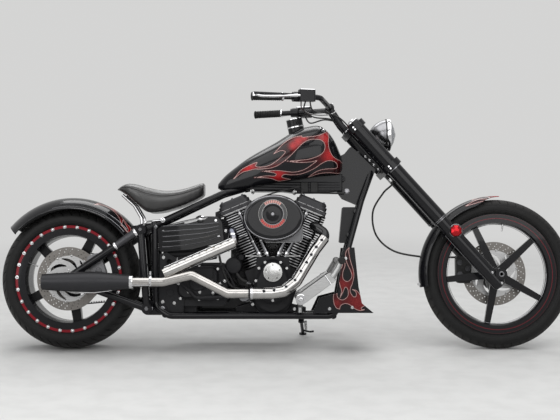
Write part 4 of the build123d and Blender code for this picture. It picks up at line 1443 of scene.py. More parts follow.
def spray(corners: np.ndarray, plane: float) -> np.ndarray:
    """Lays points of a side flat, as seen square on from a few metres off.

    Args:
        corners: Points of the piece in machine millimetres, either side.
        plane: Distance of the flat from the middle.

    Returns:
        Their flat x and z.
    """
    sin, cos = math.sin(LEAN), math.cos(LEAN)
    x, y, z = corners[:, 0], -np.abs(corners[:, 1]), corners[:, 2]
    deep, high = y * cos + z * sin, z * cos - y * sin
    ratio = (high - EYE_HEIGHT) / (EYE_DISTANCE + deep)
    flat_z = (EYE_HEIGHT + EYE_DISTANCE * ratio + plane * (sin + ratio * cos)) / (cos - ratio * sin)
    flat_x = EYE_X + (x - EYE_X) * (EYE_DISTANCE + plane * cos + flat_z * sin) / (EYE_DISTANCE + deep)
    return np.stack([flat_x, flat_z], 1)


def paint_flames(
    made: bpy.types.Object, outlines: Sequence[Sequence[Flat]], hearts: Sequence[tuple[float, float, float]],
    plane: float,
) -> None:
    """Stores on a mesh how far each point lies from the flame's edge and how red it is.

    Args:
        made: The piece.
        outlines: The flame's outlines on the flat.
        hearts: Centre and reach of each red part.
        plane: Distance of the flat from the middle.
    """
    count = len(made.data.vertices)
    raw = np.zeros(count * 3)
    made.data.vertices.foreach_get("co", raw)
    back = np.array(UPRIGHT.inverted())
    corners = raw.reshape(-1, 3) @ back[:3, :3].T + back[:3, 3]
    flat = spray(corners, plane)
    distance = flame_field(outlines, flat)
    cool = np.ones(count)
    for x, z, reach in hearts:
        gap = np.hypot(flat[:, 0] - x, flat[:, 1] - z) / reach
        cool *= 1.0 - np.exp(-(gap**2))
    for name, values in (("lick_gap", distance), ("lick_red", 1.0 - cool)):
        layer = made.data.attributes.new(name, "FLOAT", "POINT")
        layer.data.foreach_set("value", values.astype(np.float32))


@dataclass
class FuelTank:
    """Teardrop tank with flames, its gauge, cap and the steel edge round the gauge."""

    stations: tuple[tuple[float, float, float, float], ...] = (
        (-324, 748, 770, 14),
        (-318, 744, 778, 24),
        (-230, 740, 858, 78),
        (-60, 770, 962, 128),
        (90, 794, 1040, 148),
        (180, 808, 1034, 128),
        (226, 812, 978, 100),
        (252, 818, 922, 66),
        (264, 836, 892, 30),
    )
    flames: tuple[tuple[Flat, ...], ...] = (
        (
            (134, 987), (164, 996), (194, 1012), (194, 1012), (196, 981), (194, 947), (204, 911), (221, 887),
            (254, 866), (262, 838), (246, 815), (193, 817), (148, 812), (104, 797), (104, 797), (142, 823),
            (184, 833), (229, 836), (237, 851), (223, 869), (193, 873), (163, 860), (127, 836), (73, 813),
            (25, 807), (-11, 809), (-23, 795), (12, 786), (12, 786), (-35, 778), (-65, 788), (-95, 793),
            (-145, 794), (-145, 794), (-95, 801), (-59, 800), (-47, 809), (-62, 817), (-112, 824),
            (-112, 824), (-47, 826), (-11, 823), (37, 819), (85, 832), (127, 860), (146, 876), (115, 868),
            (61, 865), (2, 870), (2, 870), (61, 874), (109, 880), (151, 896), (173, 914), (180, 938),
            (173, 960), (152, 972), (109, 972), (76, 955), (49, 929), (7, 887), (-35, 855), (-71, 840),
            (-120, 834), (-150, 834), (-180, 826), (-207, 818), (-242, 792), (-242, 792), (-210, 830),
            (-168, 853), (-138, 864), (-146, 848), (-126, 842), (-83, 849), (-41, 875), (-6, 912),
            (-26, 920), (-56, 908), (-56, 908), (-17, 950), (25, 978), (67, 988), (73, 982), (103, 984),
        ),
    )
    hearts: tuple[tuple[float, float, float], ...] = (
        (182, 978, 34), (204, 896, 36), (80, 980, 16), (54, 962, 20), (30, 942, 17), (-178, 840, 34),
        (-38, 806, 34),
    )

    def section(self, x: float) -> list[Vector]:
        """Gives the tank's section at a place along the machine.

        Args:
            x: The place.

        Returns:
            A closed ring of points.
        """
        table = np.array(self.stations, float)
        low, high, half = (self.eased(table[:, 0], table[:, column], x) for column in (1, 2, 3))
        middle = low + (high - low) * 0.42
        right = [
            (0.0, low), (-half * 0.40, low + 0.5), (-half * 0.74, low + 2.5),
            (-half * 0.93, low + (middle - low) * 0.36), (-half, middle),
            (-half * 0.94, middle + (high - middle) * 0.36), (-half * 0.74, middle + (high - middle) * 0.70),
            (-half * 0.40, middle + (high - middle) * 0.93), (0.0, high),
        ]
        outline = right + [(-y, z) for y, z in reversed(right[1:-1])]
        return [Vector((x, spot.x, spot.y)) for spot in curve(outline, 11, True)]

    @staticmethod
    def eased(keys: np.ndarray, values: np.ndarray, x: float) -> float:
        """Interpolates a column of the stations smoothly.

        Args:
            keys: Places along the machine.
            values: The column.
            x: The place asked for.

        Returns:
            The value there.
        """
        slopes = np.gradient(values, keys)
        index = int(np.clip(np.searchsorted(keys, x) - 1, 0, len(keys) - 2))
        gap = keys[index + 1] - keys[index]
        t = (x - keys[index]) / gap
        a, b = values[index], values[index + 1]
        m, n = slopes[index] * gap, slopes[index + 1] * gap
        near = a * (2 * t**3 - 3 * t**2 + 1) + m * (t**3 - 2 * t**2 + t)
        return float(near + b * (3 * t**2 - 2 * t**3) + n * (t**3 - t**2))

    def build(self) -> None:
        """Builds the tank and its fittings."""
        first, last = self.stations[0][0], self.stations[-1][0]
        ease = np.linspace(0.0, 1.0, 190)
        places = first + (last - first) * (0.5 - 0.5 * np.cos(np.pi * (0.04 + 0.92 * ease)))
        places = (places - places[0]) / (places[-1] - places[0]) * (last - first) + first
        tank = Form().loft([self.section(float(x)) for x in places])
        made = tank.make("painted_tank", FLAMES, replaces=("fuel_tank",), sharp=60.0)
        paint_flames(made, self.flames, self.hearts, -125.0)
        tilt = Vector((-0.2, 0.0, 1.0)).normalized()
        base = along((50, 0, 1008), tilt)
        top = base @ Matrix.Translation((0, 0, 70.0))
        bezel = Form().ring(top, 33.0, 39.5, 4.0)
        bezel.lathe([(39.2, 30), (40.5, 31), (40.5, 36), (39.2, 37)], base, 48)
        bezel.make("gauge_bezel", CHROME)
        Form().disc(top, 33.2, 0.8, 0.2).make("gauge_face", DIAL)
        reading = top @ Matrix.Translation((0, 0, 1.0)) @ Matrix.Rotation(math.radians(125), 4, "Z")
        needle = Form().plate([(-1.4, -6), (1.4, -6), (0.5, 25), (-0.5, 25)], reading, 0.8, 0.2)
        needle.disc(top @ Matrix.Translation((0, 0, 0.9)), 4.0, 2.0, 0.5, 20)
        needle.make("gauge_needle", RED)
        cap = Form()
        lid = along((150, -62, 1024), (0.12, -0.62, 1.0))
        cap.lathe([(0, -4), (31, -4), (31, 1), (29, 3), (24, 6), (10, 8), (0, 8.5)], lid, 44)
        cap.make("tank_cap", CHROME)
        bolts = Form()
        for side in Side:
            bolts.bolt(along((-296, side.value * 24, 786), (-0.4, side.value * 0.75, 0.55)), 6.5, Head.DOME)
            bolts.bolt(facing(222, side.value * 66, 838, side), 6.5, Head.DOME)
        bolts.make("tank_bolts", CHROME)


@dataclass
class BrakeDiscs:
    """Drilled brake discs on carriers with long curved slots, in place of the plain ones."""

    holes: int = 30
    slots: int = 7
    thick: float = 5.0

    def disc(
        self, name: str, centre: Point, radius: float, hub: float, face: float, back: float, body: Body
    ) -> None:
        """Builds one disc with its carrier and hub sleeve.

        Args:
            name: Which wheel.
            centre: Its axle.
            radius: Outer radius.
            hub: Radius of the sleeve that seats on the hub.
            face: Place across of its right face.
            back: Place across where the sleeve ends.
            body: The wheel that it turns with.
        """
        place = facing(centre[0], face + self.thick, centre[2])
        drilled = [
            circle(r * math.cos(a), r * math.sin(a), 2.5, 10)
            for turn in range(self.holes)
            for r, a in [
                (radius - 10 - 11 * row, 2 * math.pi * (turn + 0.3 * row) / self.holes) for row in range(3)
            ]
        ]
        band = Form().pierced(
            circle(0, 0, radius, 96), [circle(0, 0, radius - 42, 72), *drilled], place, self.thick
        )
        finish = REAR_DISC if body is Body.REAR_WHEEL else FRONT_DISC
        band.make(f"{name}_disc_band", finish, body, (f"{name}_disc",))
        curls = []
        for turn in range(self.slots):
            start = 2 * math.pi * turn / self.slots
            edge = []
            for along_slot, out in (
                (0.0, 1), (0.33, 1), (0.66, 1), (1.0, 1), (1.0, -1), (0.66, -1), (0.33, -1), (0.0, -1)
            ):
                wide = (3.0, 7.5, 7.0, 3.0)[round(along_slot * 3)]
                r = hub + 16 + (radius - 66 - hub) * along_slot + out * wide
                a = start + 1.0 * along_slot
                edge.append((r * math.cos(a), r * math.sin(a)))
            curls.append([tuple(spot[:2]) for spot in curve(edge, 4, True)])
        bores = [circle(0, 0, 20.5, 32)]
        Form().pierced(
            circle(0, 0, radius - 40, 84), [*bores, *curls], place @ Matrix.Translation((0, 0, 1.0)), 4.6
        ).make(f"{name}_disc_carrier", SHEEN, body)
        sleeve = Form().ring(
            facing(centre[0], max(back, face + self.thick), centre[2]), 20.5, hub,
            abs(back - face - self.thick), 0.6,
        )
        sleeve.bolts(around(centre, radius - 41, face, 10, 12.0, Side.RIGHT), 4.2, Head.DOME)
        sleeve.make(f"{name}_disc_seat", BOLT_STEEL, body)

    def build(self) -> None:
        """Builds both discs."""
        self.disc("rear", REAR_AXLE, 146.0, 44.0, -108.0, -75.5, Body.REAR_WHEEL)
        self.disc("front", FRONT_AXLE, 150.0, 32.0, 57.0, 52.5, Body.FRONT_WHEEL)


REAR_TYRE = Tyre(
    "rear_tyre", REAR_AXLE, 324.5, 240.0, 200.0, 246.0, 103.0, (9.0, 54.0), 46, 4.5, REAR_RUBBER,
    Body.REAR_WHEEL,
)
FRONT_TYRE = Tyre(
    "front_tyre", FRONT_AXLE, 347.5, 90.0, 45.0, 280.5, 28.0, (5.0,), 54, 3.5, FRONT_RUBBER, Body.FRONT_WHEEL
)


@dataclass
class Saddle:
    """Low sprung saddle: crowned leather with a welted seam and stitched skirt."""

    top: tuple[Flat, ...] = (
        (-791, 744), (-776, 757), (-742, 768), (-700, 764), (-650, 750), (-590, 737), (-540, 735),
        (-490, 742), (-440, 757), (-404, 770), (-389, 771),
    )
    bottom: tuple[Flat, ...] = (
        (-791, 741), (-776, 731), (-742, 709), (-700, 672), (-650, 634), (-590, 634), (-540, 646),
        (-490, 662), (-440, 684), (-404, 703), (-389, 716),
    )
    width: tuple[Flat, ...] = (
        (-791, 72), (-776, 98), (-742, 130), (-700, 145), (-650, 149), (-590, 148), (-540, 140), (-490, 124),
        (-440, 104), (-404, 86), (-389, 66),
    )
    stations: int = 74

    def row(self, t: float) -> tuple[float, float, float, float]:
        """Gives the place, top, underside and half width at a share of the length."""
        x = -790.5 + 401.0 * t
        values = []
        for table in (self.top, self.bottom, self.width):
            line = np.array([spot[:2] for spot in curve(table, 8)])
            values.append(float(np.interp(x, line[:, 0], line[:, 1])))
        return x, values[0], values[1], values[2]

    def section(self, t: float) -> list[Vector]:
        """Gives one crowned section across the saddle.

        Args:
            t: Share of the length from the tail.

        Returns:
            A closed ring of points.
        """
        x, high, low, half = self.row(t)
        deep = high - low
        dish = 5.0 * math.exp(-(((t - 0.42) / 0.26) ** 2))
        right = [
            (0.0, high - dish), (0.34, high - dish * 0.8 + 1.0), (0.66, high - 1.0),
            (0.86, high - deep * 0.10 - 3.0), (0.955, high - deep * 0.20 - 6.0), (1.0, high - deep * 0.42),
            (0.985, high - deep * 0.66), (0.90, high - deep * 0.88), (0.74, low + deep * 0.02),
            (0.40, low + 3.0), (0.0, low + 4.0),
        ]
        outline = [(-half * y, z) for y, z in right] + [(half * y, z) for y, z in right[-2:0:-1]]
        ring = [Vector((x, spot.x, spot.y)) for spot in curve(outline, 5, True)]
        for point in ring:
            side = abs(point.y) / max(half, 1.0)
            fade = math.exp(-(((side - 0.97) / 0.10) ** 2))
            crease = math.sin(point.x * 0.11 + 2.0 * math.sin(point.x * 0.031)) * fade
            point.y += math.copysign(0.8 * crease, point.y)
        return ring

    def seam(self, side: Side, share: float, drop: float) -> list[Vector]:
        """Gives a line that runs along one edge of the saddle.

        Args:
            side: Which side.
            share: Share of the half width.
            drop: Share of the depth below the top.

        Returns:
            Points of the line.
        """
        line = []
        for step in range(61):
            x, high, low, half = self.row(0.03 + 0.94 * step / 60)
            line.append(Vector((x, side.value * half * share, high - (high - low) * drop - 4.5)))
        return line

    def build(self) -> None:
        """Builds the leather, its welt and its stitching."""
        rings = [
            self.section(0.5 - 0.5 * math.cos(math.pi * (0.03 + 0.94 * step / self.stations)))
            for step in range(self.stations + 1)
        ]
        ends = []
        for ring, ahead in ((rings[0], -3.0), (rings[-1], 3.0)):
            middle = sum(point.z for point in ring) / len(ring)
            ends.append(
                [point.lerp(Vector((point.x, 0, middle)), 0.16) + Vector((ahead, 0, 0)) for point in ring]
            )
        leather = Form().loft([ends[0], *rings, ends[1]])
        made = leather.make("saddle_leather", LEATHER, replaces=("saddle",), sharp=80.0)
        welt = Form()
        threads = Form()
        for side in Side:
            welt.tube(self.seam(side, 0.962, 0.205), 2.6, 8)
            for share, drop in ((0.925, 0.145), (0.987, 0.265)):
                line = self.seam(side, share, drop)
                for start, end in zip(line, line[1:]):
                    gap = end - start
                    crest = start + gap * 0.5 + Vector((0, side.value * 0.7, 0.5))
                    threads.tube([start + gap * 0.12, crest, start + gap * 0.72], 0.9, 5)
        welt.make("saddle_welt", LEATHER)
        threads.make("saddle_stitching", THREAD)


@dataclass
class Engine:
    """Dress of the open V-twin: bolts, pushrod collars, timer cover, leads and gaskets."""

    cover_y: float = -150.0

    def cylinder(self, tilt: float, distance: float, out: float = 0.0, y: float = 0.0) -> Vector:
        """Gives a point by its place up a tilted cylinder.

        Args:
            tilt: Tilt of the cylinder in degrees.
            distance: Distance from the crank.
            out: Distance forward of its axis.
            y: Distance to the left.

        Returns:
            The point.
        """
        sin, cos = math.sin(math.radians(tilt)), math.cos(math.radians(tilt))
        return Vector((CRANK[0] + sin * distance + cos * out, y, CRANK[1] + cos * distance - sin * out))

    def timer(self) -> None:
        """Builds the bright timer cover with five screws and the cam cover's bolts."""
        place = facing(-64, -160, 357)
        Form().lathe(
            [(0, 0), (44, 0), (44, 2.6), (43, 3.6), (30, 4.0), (29, 4.4), (6, 4.8), (0, 4.8)], place, 56
        ).make("timer_cover", TIMER_PLATE)
        Form().bolts(
            around((-64, 0, 357), 33.0, -163.6, 5, 90.0, Side.RIGHT), 3.0, Head.SOCKET, False
        ).make("timer_screws", SATIN)
        edge = (
            (-134, 268), (-142, 318), (-128, 375), (-100, 402), (-28, 402), (0, 375), (14, 318), (6, 268),
            (-64, 228),
        )
        Form().bolts(flush(edge, self.cover_y + 0.5), 4.6, Head.SOCKET).make("cam_cover_bolts", BOLT_STEEL)

    def pushrods(self) -> None:
        """Builds collars and feet on the four pushrod tubes."""
        collars, feet = Form(), Form()
        for tilt in (CYLINDER_TILT, -CYLINDER_TILT):
            lean_in = 1 if tilt < 0 else -1
            for foot_out, head_in in ((24, 52), (60, 8)):
                upper = self.cylinder(tilt, 440, lean_in * head_in, -103)
                lower = Vector((-64 - lean_in * foot_out, -103, 431.5))
                rise = (upper - lower).normalized()
                span = (upper - lower).length
                for share, radius, tall in (
                    (0.03, 13.0, 12.0), (0.30, 11.8, 7.0), (0.62, 11.6, 9.0), (0.90, 12.6, 11.0)
                ):
                    base = along(lower + rise * span * share, rise)
                    ring = [
                        (10.0, 0), (radius - 1, 0), (radius, 1), (radius, tall - 1), (radius - 1, tall),
                        (10.0, tall),
                    ]
                    collars.lathe(ring, base, 24)
            block = self.cylinder(tilt, 196).x - 16 * lean_in
            feet.plate(
                [(-36, -13), (36, -13), (36, 13), (-36, 13)],
                along((block, -102, 429), (0, 0, 1), (0, 1, 0)), 5, 1.5,
            )
        collars.make("pushrod_collars", CHROME)
        feet.make("lifter_blocks", SHEEN)

    def heads(self) -> None:
        """Builds rocker box bolts, gaskets, plugs and head bolts."""
        bolts, ears, gaskets, plugs = Form(), Form(), Form(), Form()
        for tilt, finish, name in ((CYLINDER_TILT, FIN_FRONT, "front"), (-CYLINDER_TILT, FIN_REAR, "rear")):
            up = self.cylinder(tilt, 1) - self.cylinder(tilt, 0)
            fins = Form()
            for gap in range(5):
                level = along(self.cylinder(tilt, 323.0 + 22.68 * (gap + 0.5) + 0.6), up, (0, 1, 0))
                fins.plate(rounded(85.7, 89.7, 34.0), level, 2.4, 0.4)
            fins.make(f"{name}_head_fins", finish)
            for out in (-56, 0, 56):
                for y in (-84, 84):
                    bolts.bolt(along(self.cylinder(tilt, 497.6, out * 0.9, y * 0.98), up), 5.2, Head.SOCKET)
            for out in (-66, -22, 22, 66):
                ear = facing(*self.cylinder(tilt, 451, out, -114.6))
                ears.lathe([(0, -6), (9.5, -6), (9.5, 3), (8.5, 4), (0, 4)], ear, 20)
                ears.bolt(ear @ Matrix.Translation((0, 0, 4)), 4.4, Head.HEX, False)
            corners = [
                (80.6, 100), (66, 115.6), (-66, 115.6), (-80.6, 100), (-80.6, -100), (-66, -115.6),
                (66, -115.6), (80.6, -100),
            ]
            for at, size, thick in ((439.2, 1.0, 2.2), (459.2, 0.999, 1.4)):
                place = along(self.cylinder(tilt, at), up, (0, 1, 0))
                gaskets.loft(
                    [[place @ Vector((a * size, b * size, h)) for a, b in corners] for h in (0.0, thick)]
                )
            side = 1 if tilt > 0 else -1
            seat = self.cylinder(tilt, 378, -side * 40, -88)
            aim = Vector((-side * 0.15, -1.0, 0.25))
            plugs.lathe(
                [(0, -4), (9, -4), (9, 10), (7, 12), (6.5, 24), (9.5, 26), (9.5, 44), (7, 50), (0, 52)],
                along(seat, aim), 16,
            )
        bolts.make("rocker_bolts", DARK_CHROME)
        ears.make("rocker_ears", ROCKER)
        gaskets.make("rocker_gaskets", MACHINED)
        plugs.make("plug_caps", PLASTIC)

    def lines(self) -> None:
        """Builds the plug leads, oil lines and fittings between the cases."""
        leads = Form().bent([(-20, -132, 590), (30, -118, 640), (60, -96, 700), (76, -86, 738)], 3.6)
        leads.bent(
            [(-108, -132, 590), (-160, -122, 630), (-120, -112, 700), (20, -92, 744), (60, -84, 748)], 3.6
        )
        leads.make("plug_leads", HOSE)
        oil = Form().bent(
            [(-150, -96, 300), (-185, -112, 312), (-215, -108, 330), (-240, -92, 372), (-252, -84, 440)],
            5.5, 10,
        )
        oil.bent(
            [(-150, -96, 272), (-200, -118, 275), (-262, -112, 300), (-300, -92, 380), (-318, -80, 452)],
            5.5, 10,
        )
        oil.make("oil_lines", HOSE)
        fittings = Form()
        for spot, aim in (
            ((-150, -96, 300), (1, 0.1, -0.2)), ((-150, -96, 272), (1, 0.1, 0)),
            ((-178, -112, 309), (1, 0.3, -0.3)),
        ):
            fittings.lathe([(0, -9), (9, -9), (9, 3), (7, 5), (7, 12), (0, 12)], along(spot, aim), 6)
        filter_place = along((-172, -72, 246), (-0.35, -0.85, 0.1))
        fittings.lathe([(0, 0), (30, 0), (32, 4), (32, 58), (29, 64), (24, 66), (0, 66)], filter_place, 32)
        fittings.make("oil_fittings", DARK_CHROME)
        cases = Form().bolts(flush(((60, 258), (36, 186), (-158, 208), (-18, 158), (-110, 158)), -70), 5.2)
        edge = (
            (-490, 236), (-318, 236), (-490, 372), (-318, 372), (-404, 388), (-404, 232), (-500, 304),
            (-308, 304),
        )
        cases.bolts(flush(edge, -123.5), 4.6)
        cases.make("case_bolts", BOLT_STEEL)
        gear = Form().lathe(
            [(0, 0), (40, 0), (40, 4), (37, 7), (30, 7), (28, 5), (0, 6)], facing(-410, -124, 310), 44
        )
        gear.plate([(-70, -30), (70, -30), (70, 30), (-70, 30)], facing(-410, -123.8, 346), 4, 2)
        for rib in range(5):
            gear.tube(
                [
                    (-480, -124, 336 + rib * 13), (-452 + rib * 3, -127, 338 + rib * 13),
                    (-330, -125, 338 + rib * 13),
                ],
                [1.6, 3.0, 1.6], 8,
            )
        gear.bent(
            [(-440, -118, 398), (-397, -126, 394), (-310, -130, 388), (-276, -130, 360), (-240, -128, 292)],
            4.5, 10,
        )
        gear.make("gearbox_cover", WRINKLE)
        pins = Form()
        for x, z in ((-508, 414), (-472, 416), (-428, 422)):
            pins.lathe(
                [(0, 0), (7, 0), (7, 5), (3.5, 6), (3.5, 24), (0, 25)],
                along((x, -104, z - 14), (0.04, 0, 1)), 6,
            )
        pins.bolts(flush(((-453, 267), (-401, 265), (-286, 316), (-340, 262)), -125), 5.0, Head.DOME)
        pins.make("gearbox_studs", BOLT_STEEL)

    def fill(self) -> None:
        """Builds the horn with its bracket in the vee, the starter and the loom behind the engine."""
        horn = Form().lathe(
            [
                (0, 0), (40, 0), (56, 6), (58, 10), (58, 15), (54, 20), (40, 24), (22, 26), (20, 34), (0, 35)
            ][::-1],
            facing(-64, 58, 498, Side.LEFT), 56,
        )
        horn.lathe([(58, 8), (61, 9), (61, 14), (58, 15)], facing(-64, 58, 498, Side.LEFT), 56)
        horn.make("horn", PLASTIC)
        Form().lathe(
            [(0, 0), (50, 0), (50, 3), (44, 8), (24, 12), (0, 13)], facing(-64, 84, 498, Side.LEFT), 56
        ).make("horn_cup", CHROME)
        bracket = Form().plate(
            [(-16, -66), (16, -66), (16, 86), (-16, 86)], facing(-64, 48, 498, Side.LEFT), 5, 1
        )
        bracket.plate([(-30, -50), (30, -50), (44, 40), (-44, 40)], facing(-64, 22, 478, Side.LEFT), 6, 1.5)
        bracket.make("horn_bracket", SATIN)
        starter = Form().lathe(
            [(0, 0), (30, 0), (38, 4), (40, 9), (40, 122), (36, 128), (0, 128)], facing(-246, 30, 386), 48
        )
        starter.lathe([(0, 0), (14, 0), (16, 3), (16, 92), (12, 96), (0, 96)], facing(-212, 20, 424), 32)
        starter.make("starter", WRINKLE)
        cap = Form().lathe(
            [(0, 0), (37, 0), (37, 4), (33, 8), (10, 10), (0, 10)], facing(-246, -97.5, 386), 44
        )
        cap.bolts(flush(((-228, 404), (-264, 368)), -104), 4.0)
        cap.make("starter_cap", WRINKLE)
        loom = Form()
        for shift in (0, 9, 18):
            loom.bent(
                [
                    (-190 - shift, -20, 700), (-210 - shift, -30, 620), (-226 - shift, -24, 540),
                    (-232 - shift, -10, 470), (-236, 0, 420),
                ],
                5.0,
            )
        loom.make("wiring_loom", HOSE)

    def build(self) -> None:
        """Builds the whole dress."""
        self.fill()
        self.timer()
        self.pushrods()
        self.heads()
        self.lines()


@dataclass
class AirCleaner:
    """Insert ring with red arcs, the upper one paler as a painted highlight, its dished centre and the bright
    backing plate.
    """

    centre: Flat = (-64.0, 621.0)
    face: float = -232.0

    def build(self) -> None:
        """Builds the insert, its bolt and the backing plate."""
        x, z = self.centre
        Form().lathe(
            [(0, -1), (67, -1), (67, 1.5), (65, 3.4), (49, 3.4), (47.5, 2.2), (0, 2.2)],
            facing(x, self.face, z), 72,
        ).make("air_insert", AIR_INSERT)
        Form().lathe(
            [
                (47, 2.0), (46, 4.2), (43, 5.4), (40, 4.4), (30, 5.6), (12, 7.0), (11, 6.0), (0, 6.0)
            ][::-1] + [(0, 2.0)],
            facing(x, self.face, z), 64,
        ).make("air_centre", BLACK)
        Form().bolt(facing(x, self.face - 5.5, z), 5.0, Head.SOCKET).make("air_trim", DARK_CHROME)
        Form().ring(facing(x, self.face - 3.2, z), 46.6, 49.0, 1.8).make("air_inner_ring", DARK_CHROME)
        plate = Form()
        outline = [
            (-128, 520), (-96, 494), (60, 494), (70, 502), (76, 560), (60, 640), (-60, 560), (-120, 560)
        ]
        plate.pierced([(a - x, b - z) for a, b in outline], [], facing(x, -119.5, z), 5.0)
        plate.make("air_backing", CAST_GREY)
        Form().tube([(-98, -125, 495), (60, -125, 495), (70, -125, 503), (75, -125, 548)], 2.0, 8).make(
            "air_backing_lip", CHROME
        )
        band = Form()
        turns = np.linspace(0, 2 * math.pi, 97)[:-1]
        loops = []
        for degrees, lift in ((4, 0.2), (6, 1.4), (22, 1.8), (36, 1.8), (50, 1.4), (54, -0.4)):
            phi = math.radians(degrees)
            grow, y = (24 + lift) * math.cos(phi) - 24, -200 - (24 + lift) * math.sin(phi)
            loops.append(
                [
                    Vector((-61 + (140 + grow) * math.cos(a), y, 604 + (106 + grow) * math.sin(a)))
                    for a in turns
                ]
            )
        band.loft(loops, caps=False)
        band.make("air_band", DARK_CHROME)


